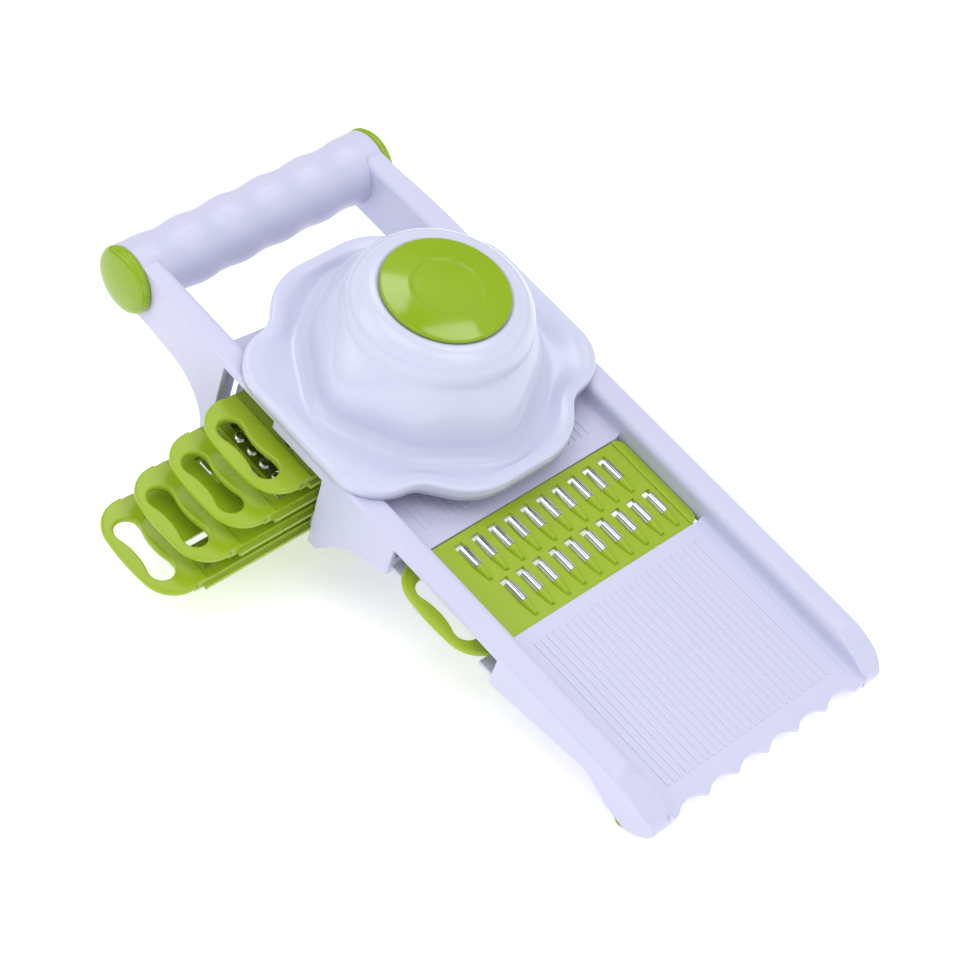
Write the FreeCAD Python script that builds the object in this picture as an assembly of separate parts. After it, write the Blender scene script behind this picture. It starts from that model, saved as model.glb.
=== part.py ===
import FreeCAD
import Part
import math
import os

Vector = FreeCAD.Vector

# Everything is modelled in the deck's own frame, in millimetres: u (X) runs along the deck from the
# handle to the scalloped front, v (Y) runs across it from the near side to the far side, and n (Z)
# stands square on it. The datum is the rear edge of the blade window, on the centre line, at the
# deck's top. The finished pieces are then tilted as the slicer stands and moved onto their origin.

# Stance
DECK_TILT = 16.0            # degrees, handle end up

# Fits between pieces
SLIDE_CLEARANCE = 0.35      # insert to its guides, each side
LAY_CLEARANCE = 0.3         # a loose piece above what it lies on
SEAT_FIT = 0.05             # a fixed piece in its hole, on the radius

# Deck and rails
RAIL_SPAN = 120.0           # over both rails
RAIL_WIDTH = 10.7
RAIL_HEIGHT = 8.7           # rail top above the deck
RAIL_INNER_ROUND = 3.0
RAIL_OUTER_ROUND = 1.4
RAIL_COVE = 2.5             # hollow corner between deck and rail
WALL = 2.0
DECK_THICKNESS = 2.6
DECK_REAR = 110.7           # window back to the deck's rear edge
DECK_FRONT = 84.4           # window forward to the scallop tips
DECK_REAR_BOW = 3.0         # how far the rear edge curves in

# Scalloped front edge
SCALLOP_PITCH = 15.0
SCALLOP_DEPTH = 3.1
SCALLOP_COUNT = 6

# Fine ribs along the deck
RIB_PITCH = 3.1
RIB_WIDTH = 1.3
RIB_HEIGHT = 0.35
RIB_SIDE_MARGIN = 8.0       # from the rails to the outermost rib
RIB_END_MARGIN = 7.0        # from the deck's edges to the ribs' ends

# Side walls: nose, front arch, bracket beside the rack
NOSE_REACH = 5.0            # nose corner in front of the scallop tips
NOSE_DROP = 1.8
NOSE_ROUND = 4.0
NOSE_PLAN_ROUND = 13.0      # outer front corner, seen from above
NOSE_BEND = 12.5            # scallop tips back to the bend of the rail top
NOSE_BEND_ROUND = 38.0
NOSE_SOLID = 22.0           # solid length of the nose behind the scallop tips
FOOT_LOBE_SETBACK = 9.0     # lowest corner of the front foot behind the scallop tips
FOOT_LOBE_DEPTH = 8.2
FOOT_LOBE_LENGTH = 11.5
FOOT_LOBE_RISE = 2.0
FOOT_LOBE_ROUND = 7.0
ARCH_SETBACK = 31.5         # top of the front arch behind the scallop tips
ARCH_DEPTH = 1.0
ARCH_ROUND = 10.0
FRONT_WALL_DEPTH = 8.2
WALL_CORNER_ROUND = 1.5
SLOT_REAR_MARGIN = 4.1      # side slot past the window, at its rear
SLOT_FRONT_MARGIN = 5.6     # and at its front
SLOT_HEAD = 5.0             # side slot's upper edge above the deck
BRACKET_GAP = 6.2           # stored inserts to the bracket
BRACKET_DEPTH = 32.0
BRACKET_LEAN = 1.7          # bracket's rear edge leans forward to its foot
BRACKET_FOOT = 4.5
BRACKET_FRONT_DEPTH = 8.9
BRACKET_HIP_REACH = 9.6     # corner of the bracket's arch in front of its foot
BRACKET_HIP_DEPTH = 18.4
BRACKET_ARCH_SHARE = 0.55   # share of the arch's rear stretch that its bend takes up
NOTCH_HEAD = 5.5            # rack opening's upper edge, rear part
NOTCH_STEP = 3.5            # and how much lower its front part is
NOTCH_SHARE_LENGTH = 28.0   # length of the higher rear part

# Arms, rear legs and grip
HAND_HOLE = 31.0            # grip to the deck's rear edge
GRIP_RADIUS = 13.0
GRIP_WAVE = 0.4
GRIP_WAVES = 5
HUB_RADIUS = 13.4
HUB_RISE = 1.6              # hub above the rail top
HUB_INSET = 2.0             # hub's face inside the rail's outer face
ARM_DEPTH = 15.8            # arm's underside below the deck
LEG_GAP = 6.2               # stored inserts to the leg
LEG_WIDTH = 4.7
LEG_SWEEP = 20.0            # rounding from the arm into the leg
LEG_FLARE = 10.0
LEG_KNEE_DROP = 1.6         # start of the flare below the stored inserts
LEG_SOLE_HEIGHT = 9.0       # solid length above the sole

# Handle end caps and screws
CAP_RADIUS = 13.6
CAP_RIM = 1.6
CAP_DOME = 4.4
CAP_PLUG_RADIUS = 8.0
CAP_PLUG_DEPTH = 2.6
SCREW_POCKET_DEPTH = 5.6
GRIP_SCREW_LENGTH = 20.0
GRIP_SCREW_RADIUS = 1.8
SCREW_HEAD_RADIUS = 3.4
SCREW_HEAD_HEIGHT = 2.2

# Rubber feet
FOOT_RADIUS = 4.2
FOOT_HEIGHT = 5.6
FOOT_STAND = 3.0            # height that shows below the moulding
FRONT_FOOT_SETBACK = 12.0   # front feet behind the scallop tips
FRONT_FOOT_DROP = 11.0      # sole of the front feet below the deck's plane

# Inserts
INSERT_WIDTH = 43.5
INSERT_THICKNESS = 5.2
INSERT_CORNER = 4.0
SHOULDER_GAP = 0.4          # loop's shoulder to the rail's inner face when pushed home
PLATE_THICKNESS = 2.0
PLATE_RECESS = 0.8          # plate below the insert's rim
SKIRT = 2.4
TONGUE_REACH = 1.6
TONGUE_THICKNESS = 1.9
NEAR_RIDGE_END = 5.2        # shoulder to the end of the near ridge
NEAR_BAR = 4.0              # solid bar behind the shoulder
FAR_RIDGE_WIDTH = 4.2
RIDGE_ROUND = 0.7
LEDGE_THICKNESS = 2.0
LEDGE_REACH = 1.5           # ledge under the insert's skirt
TOOTH_HEADROOM = 0.8

# Finger loop of an insert
LOOP_WIDTH = 45.5
LOOP_THICKNESS = 2.8
LOOP_REACH = 15.6
LOOP_BOW_RADIUS = 90.0
LOOP_CORNER = 13.0
LOOP_EDGE_ROUND = 1.1
LOOP_HOLE_CENTRE = 6.4      # hole's middle outside the shoulder
LOOP_HOLE_SPACING = 19.5    # between the centres of its round ends
LOOP_HOLE_END_RADIUS = 4.9
LOOP_HOLE_NECK = 6.7        # width at its waist

# Scoops of the coarse and fine shredders
SCOOP_STEEL = 0.4
SCOOP_MOUTH_GAP = 2.6       # open slot in front of a scoop's mouth
SCOOP_SHIFT = 2.6           # middle of the rows beyond the field's middle
COARSE_PITCH = 7.9
COARSE_COUNT = 10
COARSE_RADIUS = 2.0
COARSE_LENGTH = 8.8
COARSE_RAMP = 6.6
COARSE_FIRST_ROW = 3.0      # insert's rear edge to the first slots
COARSE_ROW_SPACING = 19.9
FINE_PITCH = 5.4
FINE_COUNT = 14
FINE_RADIUS = 1.3
FINE_LENGTH = 6.4
FINE_RAMP = 4.6
FINE_FIRST_ROW = 4.6
FINE_ROW_SPACING = 18.6
RAMP_TIP_RADIUS = 0.9

# Slicer blades
BLADE_THICKNESS = 0.7
BLADE_WIDTH = 11.0
BLADE_EDGE = 1.6            # width of the ground edge
BLADE_OVERHANG = 2.0
BLADE_FRONT_MARGIN = 3.4    # blade's back edge to the insert's front edge
BLADE_END_GAP = 1.5
SLICE_SLOT = 5.0
THIN_CUT = 0.4
THICK_CUT = 1.1
RIVET_RADIUS = 1.2
RIVET_HEAD_RADIUS = 2.2
RIVET_HEAD_HEIGHT = 0.5
RIVET_COUNT = 3
RIVET_END_MARGIN = 12.0

# Grater plate
GRATER_STEEL = 0.7
GRATER_MARGIN = 3.5         # plate's edge to the insert's edge
GRATER_SEAT = 2.5
GRATER_PITCH = 7.0
GRATER_HOLE_RADIUS = 1.7
GRATER_CROWN_RADIUS = 2.5
GRATER_CROWN_HEIGHT = 1.1
GRATER_COLUMNS = 4
GRATER_ROWS = 11

# Rack under the rear deck
RACK_REAR_MARGIN = 3.65     # rear guide's flange to the deck's rear edge
STORE_GAP = 0.8             # deck's underside to the top insert
STORE_PITCH = 10.0
STORE_PULLS = (0.0, 14.0, 28.0, 41.4)
STORE_SHOULDER_GAP = 3.0    # loop's shoulder outside the rail when pushed into the rack
GUIDE_THICKNESS = 4.6
GUIDE_NEAR_INSET = 6.0      # guides start this far inside the near wall
GUIDE_FAR_INSET = 3.0
GUIDE_HEAD_GAP = 0.5
FLANGE_WIDTH = 10.0
FLANGE_THICKNESS = 2.4
FLANGE_END_MARGIN = 3.0     # flange's ends to the rails
BOSS_RADIUS = 3.6
BOSS_HEIGHT = 4.0
RACK_SCREW_RADIUS = 1.3
RACK_SCREW_LENGTH = 6.8
RACK_SCREW_SPACING = 35.0

# Hand guard
HOLDER_SETBACK = 59.5       # window back to the guard's middle
HOLDER_WALL = 1.8
BRIM_SIDE_LENGTH = 79.0     # side lobes, along the deck
BRIM_SIDE_REACH = 61.5      # from the guard's middle, across the deck
BRIM_SIDE_ROUND = 20.0
BRIM_END_WIDTH = 80.0       # front and rear lobes, across the deck
BRIM_END_REACH = 58.5       # from the guard's middle
BRIM_END_ROUND = 29.0
BRIM_HEIGHT = 5.2           # brim's top above the rail top
BRIM_END_LIP = 6.0          # depth of the lip on the front and rear lobes
DOME_BASE_RADIUS = 45.0
DOME_BASE_LOBE = 2.2        # how far the four lobes swell out at the foot
DOME_WAIST_RADIUS = 41.0
DOME_WAIST_LOBE = 1.7
DOME_WAIST_HEIGHT = 13.0    # above the brim's top
DOME_SHOULDER_RADIUS = 35.5
DOME_SHOULDER_HEIGHT = 25.2
DOME_HEIGHT = 37.5
DOME_TOP_RADIUS = 25.5
HOLDER_CAP_RADIUS = 23.9
HOLDER_CAP_RIM = 1.0
HOLDER_CAP_DOME = 1.6
CAP_DISH_RADIUS = 12.4
CAP_DISH_DEPTH = 0.4
CAP_BOSS_RADIUS = 5.0
CAP_BOSS_DEPTH = 9.0
PRONG_DISC_RADIUS = 24.0
PRONG_DISC_THICKNESS = 2.6
PRONG_DISC_DROP = 12.0      # disc below the dome's top
PRONG_POST_RADIUS = 8.0
PRONG_RADIUS = 0.8
PRONG_LENGTH = 13.0
PRONG_POINT = 2.4           # length of a prong's point
PRONG_TIP_RADIUS = 0.2
PRONG_SEAT = 1.8
PRONG_INNER_RING = 13.0
PRONG_INNER_COUNT = 6
PRONG_OUTER_RING = 20.5
PRONG_OUTER_COUNT = 10

# Worked out from the sizes above
HALF = RAIL_SPAN / 2
INNER = HALF - RAIL_WIDTH
WINDOW = INSERT_WIDTH + 2 * SLIDE_CLEARANCE
FRONT = WINDOW + DECK_FRONT
SHOULDER = -INNER - SHOULDER_GAP
INSERT_LENGTH = INNER - SLIDE_CLEARANCE - SHOULDER
STORE_SHOULDER = -HALF - STORE_SHOULDER_GAP
HUB_FACE = HALF - HUB_INSET
GRIP_U = -DECK_REAR - HAND_HOLE - GRIP_RADIUS
GRIP_N = RAIL_HEIGHT + HUB_RISE - HUB_RADIUS
GUIDE_REACH = INSERT_WIDTH / 2 + SLIDE_CLEARANCE + GUIDE_THICKNESS
RACK_SETBACK = DECK_REAR - RACK_REAR_MARGIN - FLANGE_WIDTH - GUIDE_REACH
STORE_TOP = -DECK_THICKNESS - STORE_GAP
STORE_BOTTOM = STORE_TOP - (len(STORE_PULLS) - 1) * STORE_PITCH - INSERT_THICKNESS
STORE_REAR = -RACK_SETBACK - INSERT_WIDTH / 2
STORE_FRONT = -RACK_SETBACK + INSERT_WIDTH / 2
LEG_FRONT = STORE_REAR - LEG_GAP
LEG_REAR = LEG_FRONT - LEG_WIDTH
LEG_TOE = LEG_FRONT + LEG_FLARE
BRACKET_REAR = STORE_FRONT + BRACKET_GAP
SLOT_REAR = -SLOT_REAR_MARGIN
SLOT_FRONT = WINDOW + SLOT_FRONT_MARGIN
FRONT_FOOT_U = FRONT - FRONT_FOOT_SETBACK
REAR_FOOT_U = (LEG_REAR + LEG_TOE) / 2
FOOT_V = HALF - RAIL_WIDTH / 2
PLATE_TOP = -PLATE_RECESS
PLATE_BOTTOM = PLATE_TOP - PLATE_THICKNESS
FIELD_START = NEAR_RIDGE_END
FIELD_END = INSERT_LENGTH - FAR_RIDGE_WIDTH
FIELD_MIDDLE = (FIELD_START + FIELD_END) / 2
BRIM_LOW = RAIL_HEIGHT + LAY_CLEARANCE
BRIM_TOP = RAIL_HEIGHT + BRIM_HEIGHT
BRIM_END_LOW = BRIM_TOP - BRIM_END_LIP
DOME_TOP = BRIM_TOP + DOME_HEIGHT
BEYOND = RAIL_SPAN          # a length that passes right through the part
RING_STEPS = 32             # points that a smooth ring is drawn through
CROWN_STEPS = 4             # rings that the rounding of the dome's top is drawn through


def ground(u):
    """Height of the table in the deck's frame."""
    return -FRONT_FOOT_DROP + math.tan(math.radians(DECK_TILT)) * (u - FRONT_FOOT_U)


def box(u0, u1, v0, v1, n0, n1):
    """Block between two corners."""
    return Part.makeBox(u1 - u0, v1 - v0, n1 - n0, Vector(u0, v0, n0))


def rod(radius, length, foot, axis):
    """Cylinder from its foot along an axis."""
    return Part.makeCylinder(radius, length, foot, axis)


def corner_arc(before, corner, after, radius):
    """Start, middle and end of the arc that rounds one corner of an outline."""
    back = (before - corner).normalize()
    ahead = (after - corner).normalize()
    half_angle = back.getAngle(ahead) / 2
    reach = radius / math.tan(half_angle)
    bisector = (back + ahead).normalize()
    centre = corner + bisector * (radius / math.sin(half_angle))
    return corner + back * reach, centre - bisector * radius, corner + ahead * reach


def rounded_face(corners):
    """Face inside a polygon, given as pairs of a corner and its rounding."""
    points = [corner for corner, _ in corners]
    edges = []
    ends = []
    for index, (corner, radius) in enumerate(corners):
        if radius:
            after = points[(index + 1) % len(points)]
            start, middle, end = corner_arc(points[index - 1], corner, after, radius)
            edges.append(Part.Arc(start, middle, end).toShape())
            ends.append((start, end))
        else:
            ends.append((corner, corner))
    for index, (_, leave) in enumerate(ends):
        arrive = ends[(index + 1) % len(ends)][0]
        edges.append(Part.LineSegment(leave, arrive).toShape())
    return Part.Face(Part.Wire(Part.__sortEdges__(edges)))


def side_face(corners):
    """Rounded face in the side view, from (u, n, rounding) corners."""
    return rounded_face([(Vector(u, 0, n), radius) for u, n, radius in corners])


def plan_face(corners):
    """Rounded face in the plan, from (u, v, rounding) corners."""
    return rounded_face([(Vector(u, v, 0), radius) for u, v, radius in corners])


def screw(shank_radius, length, seat, axis):
    """Pan-head screw: the head stands on the seat, the shank runs along the axis."""
    head = rod(SCREW_HEAD_RADIUS, SCREW_HEAD_HEIGHT, seat, axis * -1)
    return head.fuse(rod(shank_radius, length, seat, axis)).removeSplitter()


def side_outline():
    """Side wall of the body: rail top, nose, front arch, bracket, rear leg and arm."""
    foot = Vector(BRACKET_REAR + BRACKET_LEAN + BRACKET_FOOT, 0, -BRACKET_DEPTH)
    hip = foot + Vector(BRACKET_HIP_REACH, 0, BRACKET_DEPTH - BRACKET_HIP_DEPTH)
    front = Vector(SLOT_REAR, 0, -BRACKET_FRONT_DEPTH)
    turn = (front - hip).getAngle(hip - foot)
    bend = BRACKET_ARCH_SHARE * min((hip - foot).Length, (front - hip).Length)
    arch_round = bend / math.tan(turn / 2)
    return side_face([
        (GRIP_U, RAIL_HEIGHT, 0),
        (FRONT - NOSE_BEND, RAIL_HEIGHT, NOSE_BEND_ROUND),
        (FRONT + NOSE_REACH, -NOSE_DROP, NOSE_ROUND),
        (FRONT - FOOT_LOBE_SETBACK, -FOOT_LOBE_DEPTH, FOOT_LOBE_ROUND),
        (FRONT - FOOT_LOBE_SETBACK - FOOT_LOBE_LENGTH, FOOT_LOBE_RISE - FOOT_LOBE_DEPTH, FOOT_LOBE_ROUND),
        (FRONT - ARCH_SETBACK, -ARCH_DEPTH, ARCH_ROUND),
        (SLOT_FRONT + WALL_CORNER_ROUND, -FRONT_WALL_DEPTH, 0),
        (SLOT_FRONT, -FRONT_WALL_DEPTH + WALL_CORNER_ROUND, 0),
        (SLOT_REAR, -BRACKET_FRONT_DEPTH, 0),
        (hip.x, hip.z, arch_round),
        (foot.x, foot.z, WALL_CORNER_ROUND),
        (BRACKET_REAR + BRACKET_LEAN, -BRACKET_DEPTH, 0),
        (LEG_FRONT, STORE_BOTTOM - LEG_KNEE_DROP, 0),
        (LEG_TOE, ground(LEG_TOE) + FOOT_STAND, 0),
        (LEG_REAR, ground(LEG_REAR) + FOOT_STAND, 0),
        (LEG_REAR, -ARM_DEPTH, LEG_SWEEP),
        (GRIP_U, -ARM_DEPTH, 0),
    ])


def rail_section():
    """Cross-section that rounds the rail's top edges, along the whole body."""
    low = ground(LEG_REAR) - FOOT_STAND
    face = rounded_face([
        (Vector(0, INNER, low), 0),
        (Vector(0, HALF, low), 0),
        (Vector(0, HALF, RAIL_HEIGHT), RAIL_OUTER_ROUND),
        (Vector(0, INNER, RAIL_HEIGHT), RAIL_INNER_ROUND),
    ])
    length = FRONT + NOSE_REACH - GRIP_U
    solid = face.extrude(Vector(length, 0, 0))
    solid.translate(Vector(GRIP_U, 0, 0))
    return solid


def rail_plan():
    """Plan of the far rail: straight, drawn in towards the hub and rounded at the nose."""
    low = ground(LEG_REAR) - FOOT_STAND
    face = plan_face([
        (GRIP_U, INNER, 0),
        (FRONT + NOSE_REACH, INNER, 0),
        (FRONT + NOSE_REACH, HALF, NOSE_PLAN_ROUND),
        (-DECK_REAR, HALF, 0),
        (GRIP_U + CAP_RADIUS + SLIDE_CLEARANCE, HUB_FACE, 0),
        (GRIP_U, HUB_FACE, 0),
    ])
    solid = face.extrude(Vector(0, 0, RAIL_HEIGHT - low))
    solid.translate(Vector(0, 0, low))
    return solid


def side_frame():
    """Far rail with its side wall, leg, bracket, arm and handle hub, hollow from below."""
    wall = side_outline().extrude(Vector(0, RAIL_WIDTH, 0))
    wall.translate(Vector(0, INNER, 0))
    frame = wall.common(rail_section()).common(rail_plan())
    hollow_rear = LEG_REAR + WALL
    hollow_front = FRONT - NOSE_SOLID
    above = box(hollow_rear, hollow_front, INNER + WALL, HALF - WALL, -DECK_THICKNESS, RAIL_HEIGHT - WALL)
    sole_top = ground(REAR_FOOT_U) + FOOT_STAND + LEG_SOLE_HEIGHT
    below = box(hollow_rear, hollow_front, INNER, HALF - WALL, sole_top, -DECK_THICKNESS)
    frame = frame.cut(above.fuse(below))
    hub = rod(HUB_RADIUS, HUB_FACE - INNER, Vector(GRIP_U, INNER, GRIP_N), Vector(0, 1, 0))
    return frame.fuse(hub)


def mirrored(shape):
    """The same shape on the near side."""
    return shape.mirror(Vector(0, 0, 0), Vector(0, 1, 0))


def deck_plate():
    """Deck between the rails, with coves along them, scallops, a bowed rear edge and ribs."""
    plate = box(-DECK_REAR, FRONT, -INNER - WALL / 2, INNER + WALL / 2, -DECK_THICKNESS, 0)
    cove = box(-DECK_REAR, FRONT, INNER - RAIL_COVE, INNER + WALL / 2, -DECK_THICKNESS / 2, RAIL_COVE)
    axis_start = Vector(-DECK_REAR, INNER - RAIL_COVE, RAIL_COVE)
    hollow = rod(RAIL_COVE, DECK_REAR + FRONT, axis_start, Vector(1, 0, 0))
    cove = cove.cut(hollow)
    plate = plate.fuse([cove, mirrored(cove)])
    cutters = []
    radius = (SCALLOP_PITCH ** 2 / 4 + SCALLOP_DEPTH ** 2) / (2 * SCALLOP_DEPTH)
    for index in range(SCALLOP_COUNT):
        v = (index - (SCALLOP_COUNT - 1) / 2) * SCALLOP_PITCH
        foot = Vector(FRONT + radius - SCALLOP_DEPTH, v, -DECK_THICKNESS)
        cutters.append(rod(radius, DECK_THICKNESS + RAIL_COVE, foot, Vector(0, 0, 1)))
    bow = (INNER ** 2 + DECK_REAR_BOW ** 2) / (2 * DECK_REAR_BOW)
    foot = Vector(-DECK_REAR + DECK_REAR_BOW - bow, 0, -DECK_THICKNESS)
    cutters.append(rod(bow, DECK_THICKNESS + RAIL_COVE, foot, Vector(0, 0, 1)))
    return plate.cut(cutters).fuse(deck_ribs()).removeSplitter()


def deck_ribs():
    """Fine ribs in front of the window and behind it."""
    count = int((2 * INNER - 2 * RIB_SIDE_MARGIN) / RIB_PITCH)
    spans = (
        (-DECK_REAR + RIB_END_MARGIN, -RIB_END_MARGIN),
        (SLOT_FRONT, FRONT - SCALLOP_DEPTH - RIB_END_MARGIN),
    )
    ribs = []
    for rear, front in spans:
        for index in range(count + 1):
            side = (index - count / 2) * RIB_PITCH - RIB_WIDTH / 2
            ribs.append(box(rear, front, side, side + RIB_WIDTH, -DECK_THICKNESS / 2, RIB_HEIGHT))
    return ribs


def window_ledges():
    """Cross walls and ledges under the window's two edges, which the insert's tongues slide on."""
    top = -INSERT_THICKNESS - LAY_CLEARANCE
    reach = HALF - WALL / 2
    pieces = []
    for wall_rear, wall_front, depth in (
        (SLOT_REAR - WALL, SLOT_REAR, BRACKET_FRONT_DEPTH),
        (SLOT_FRONT, SLOT_FRONT + WALL, FRONT_WALL_DEPTH - WALL_CORNER_ROUND),
    ):
        pieces.append(box(wall_rear, wall_front, -reach, reach, -depth, -DECK_THICKNESS / 2))
    low = top - LEDGE_THICKNESS
    ledge_rear = SLIDE_CLEARANCE + LEDGE_REACH
    ledge_front = WINDOW - SLIDE_CLEARANCE - LEDGE_REACH
    pieces.append(box(SLOT_REAR - WALL / 2, ledge_rear, -reach, reach, low, top))
    pieces.append(box(ledge_front, SLOT_FRONT + WALL / 2, -reach, reach, low, top))
    return pieces


def rack_screw_points():
    """Places of the rack's screws in the plan, front guide first."""
    reach = GUIDE_REACH + FLANGE_WIDTH / 2
    return [
        (-RACK_SETBACK + side * reach, row * RACK_SCREW_SPACING)
        for side in (1, -1)
        for row in (-1, 0, 1)
    ]


def body_openings():
    """Cuts through the body: window, side slot, rack opening, screw holes and foot seats."""
    head = COARSE_RADIUS - PLATE_RECESS + TOOTH_HEADROOM
    floor = -INSERT_THICKNESS - LAY_CLEARANCE
    cuts = [box(0, WINDOW, -INNER, INNER, -DECK_THICKNESS, RAIL_COVE)]
    tongue_room = TONGUE_REACH + SLIDE_CLEARANCE
    cuts.append(box(0, WINDOW, -HALF, -INNER + RAIL_COVE, floor, head))
    loop_room = (LOOP_WIDTH - WINDOW) / 2 + SLIDE_CLEARANCE
    cuts.append(box(-loop_room, WINDOW + loop_room, -HALF, -INNER, floor, head))
    cuts.append(box(-tongue_room, WINDOW + tongue_room, -HALF, -INNER, floor, -DECK_THICKNESS))
    cuts.append(box(SLOT_REAR, SLOT_FRONT, -HALF, -HALF + WALL, -BEYOND, SLOT_HEAD))
    low = STORE_BOTTOM - LEG_KNEE_DROP - WALL
    lean = BRACKET_LEAN * (STORE_TOP - low) / BRACKET_DEPTH
    step = LEG_FRONT + NOTCH_SHARE_LENGTH
    opening = side_face([
        (LEG_FRONT, low, 0),
        (LEG_FRONT, NOTCH_HEAD, 0),
        (step, NOTCH_HEAD, 0),
        (step, NOTCH_HEAD - NOTCH_STEP, 0),
        (BRACKET_REAR, NOTCH_HEAD - NOTCH_STEP, 0),
        (BRACKET_REAR + lean, low, 0),
    ]).extrude(Vector(0, WALL, 0))
    opening.translate(Vector(0, -HALF, 0))
    cuts.append(opening)
    for side in (1, -1):
        mouth = Vector(GRIP_U, side * HUB_FACE, GRIP_N)
        inward = Vector(0, -side, 0)
        cuts.append(rod(CAP_PLUG_RADIUS + SEAT_FIT, SCREW_POCKET_DEPTH, mouth, inward))
        cuts.append(rod(GRIP_SCREW_RADIUS + SEAT_FIT, HUB_FACE - INNER, mouth, inward))
        for u in (FRONT_FOOT_U, REAR_FOOT_U):
            cuts.append(rubber_foot(u, side, FOOT_RADIUS + SEAT_FIT))
    return cuts


def body_frame():
    """White moulding: deck, rails, side walls, arms and legs in one piece."""
    far = side_frame()
    near = mirrored(far)
    body = far.fuse([near, deck_plate()] + window_ledges())
    body = body.cut(body_openings())
    bosses = []
    for u, v in rack_screw_points():
        foot = Vector(u, v, -DECK_THICKNESS - BOSS_HEIGHT)
        boss = rod(BOSS_RADIUS, BOSS_HEIGHT + DECK_THICKNESS / 2, foot, Vector(0, 0, 1))
        bosses.append(boss.cut(rod(RACK_SCREW_RADIUS + SEAT_FIT, BOSS_HEIGHT, foot, Vector(0, 0, 1))))
    return body.fuse(bosses).removeSplitter()


def rubber_foot(u, side, radius):
    """Round rubber foot, upright on the table, let into the moulding above it."""
    tilt = math.radians(DECK_TILT)
    upright = Vector(-math.sin(tilt), 0, math.cos(tilt))
    return rod(radius, FOOT_HEIGHT, Vector(u, side * FOOT_V, ground(u)), upright)


def handle_grip():
    """Round grip between the hubs, with a row of shallow finger waves and a screw hole at each end."""
    steps = 4 * GRIP_WAVES
    points = []
    for step in range(steps + 1):
        v = -INNER + 2 * INNER * step / steps
        wave = GRIP_WAVE * math.cos(2 * math.pi * GRIP_WAVES * step / steps)
        points.append(Vector(GRIP_U + GRIP_RADIUS - GRIP_WAVE - wave, v, GRIP_N))
    curve = Part.BSplineCurve()
    curve.interpolate(points)
    near = Vector(GRIP_U, -INNER, GRIP_N)
    far = Vector(GRIP_U, INNER, GRIP_N)
    ends = Part.makePolygon([points[-1], far, near, points[0]]).Edges
    grip = Part.Face(Part.Wire([curve.toShape()] + ends)).revolve(near, Vector(0, 1, 0), 360)
    depth = GRIP_SCREW_LENGTH - (HUB_FACE - INNER - SCREW_POCKET_DEPTH)
    for end, inward in ((near, 1), (far, -1)):
        grip = grip.cut(rod(GRIP_SCREW_RADIUS + SEAT_FIT, depth, end, Vector(0, inward, 0)))
    return grip


def handle_cap(side):
    """Domed cap over the end of the grip, with a plug that presses into the hub."""
    sphere_radius = (CAP_RADIUS ** 2 + CAP_DOME ** 2) / (2 * CAP_DOME)
    out = Vector(0, side, 0)
    base = Vector(GRIP_U, side * HUB_FACE, GRIP_N)
    cap = rod(CAP_RADIUS, CAP_RIM + CAP_DOME, base, out)
    ball = Part.makeSphere(sphere_radius, base + out * (CAP_RIM + CAP_DOME - sphere_radius))
    return cap.common(ball).fuse(rod(CAP_PLUG_RADIUS, CAP_PLUG_DEPTH, base, out * -1)).removeSplitter()


def handle_screws():
    """Screws under the caps, through the hubs into the grip."""
    screws = []
    for side in (-1, 1):
        seat = Vector(GRIP_U, side * (HUB_FACE - SCREW_POCKET_DEPTH), GRIP_N)
        screws.append(screw(GRIP_SCREW_RADIUS, GRIP_SCREW_LENGTH, seat, Vector(0, -side, 0)))
    return Part.makeCompound(screws)


def rack_guide(side):
    """Grooved wall beside the stored inserts, with a flange below the deck's bosses."""
    inner = INSERT_WIDTH / 2 + SLIDE_CLEARANCE
    near = -HALF + WALL + GUIDE_NEAR_INSET
    far = HALF - WALL - GUIDE_FAR_INSET
    top = -DECK_THICKNESS - GUIDE_HEAD_GAP
    guide = box(inner, inner + GUIDE_THICKNESS, near, far, STORE_BOTTOM, top)
    flange_top = -DECK_THICKNESS - BOSS_HEIGHT
    flange_end = INNER - FLANGE_END_MARGIN
    flange_front = GUIDE_REACH + FLANGE_WIDTH
    guide = guide.fuse(
        box(inner, flange_front, -flange_end, flange_end, flange_top - FLANGE_THICKNESS, flange_top))
    stop = STORE_SHOULDER + INSERT_LENGTH - INSERT_CORNER + SLIDE_CLEARANCE
    grooves = []
    for index in range(len(STORE_PULLS)):
        tongue_low = STORE_TOP - index * STORE_PITCH - INSERT_THICKNESS
        low = tongue_low - LAY_CLEARANCE
        high = tongue_low + TONGUE_THICKNESS + LAY_CLEARANCE
        grooves.append(box(0, inner + TONGUE_REACH, near, stop, low, high))
    guide = guide.cut(grooves)
    if side < 0:
        guide = guide.mirror(Vector(0, 0, 0), Vector(1, 0, 0))
    guide.translate(Vector(-RACK_SETBACK, 0, 0))
    holes = [
        rod(RACK_SCREW_RADIUS + SEAT_FIT, BEYOND, Vector(u, v, -BEYOND), Vector(0, 0, 1))
        for u, v in rack_screw_points()
    ]
    return guide.cut(holes).removeSplitter()


def rack_screws():
    """Screws up through the guides' flanges into the deck's bosses."""
    seat = -DECK_THICKNESS - BOSS_HEIGHT - FLANGE_THICKNESS
    up = Vector(0, 0, 1)
    length = min(RACK_SCREW_LENGTH, FLANGE_THICKNESS + BOSS_HEIGHT)
    return Part.makeCompound(
        [screw(RACK_SCREW_RADIUS, length, Vector(u, v, seat), up) for u, v in rack_screw_points()])


# Inserts are made with their width along X about zero, their shoulder at Y = 0, running in along +Y,
# and their rim at Z = 0.

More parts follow.
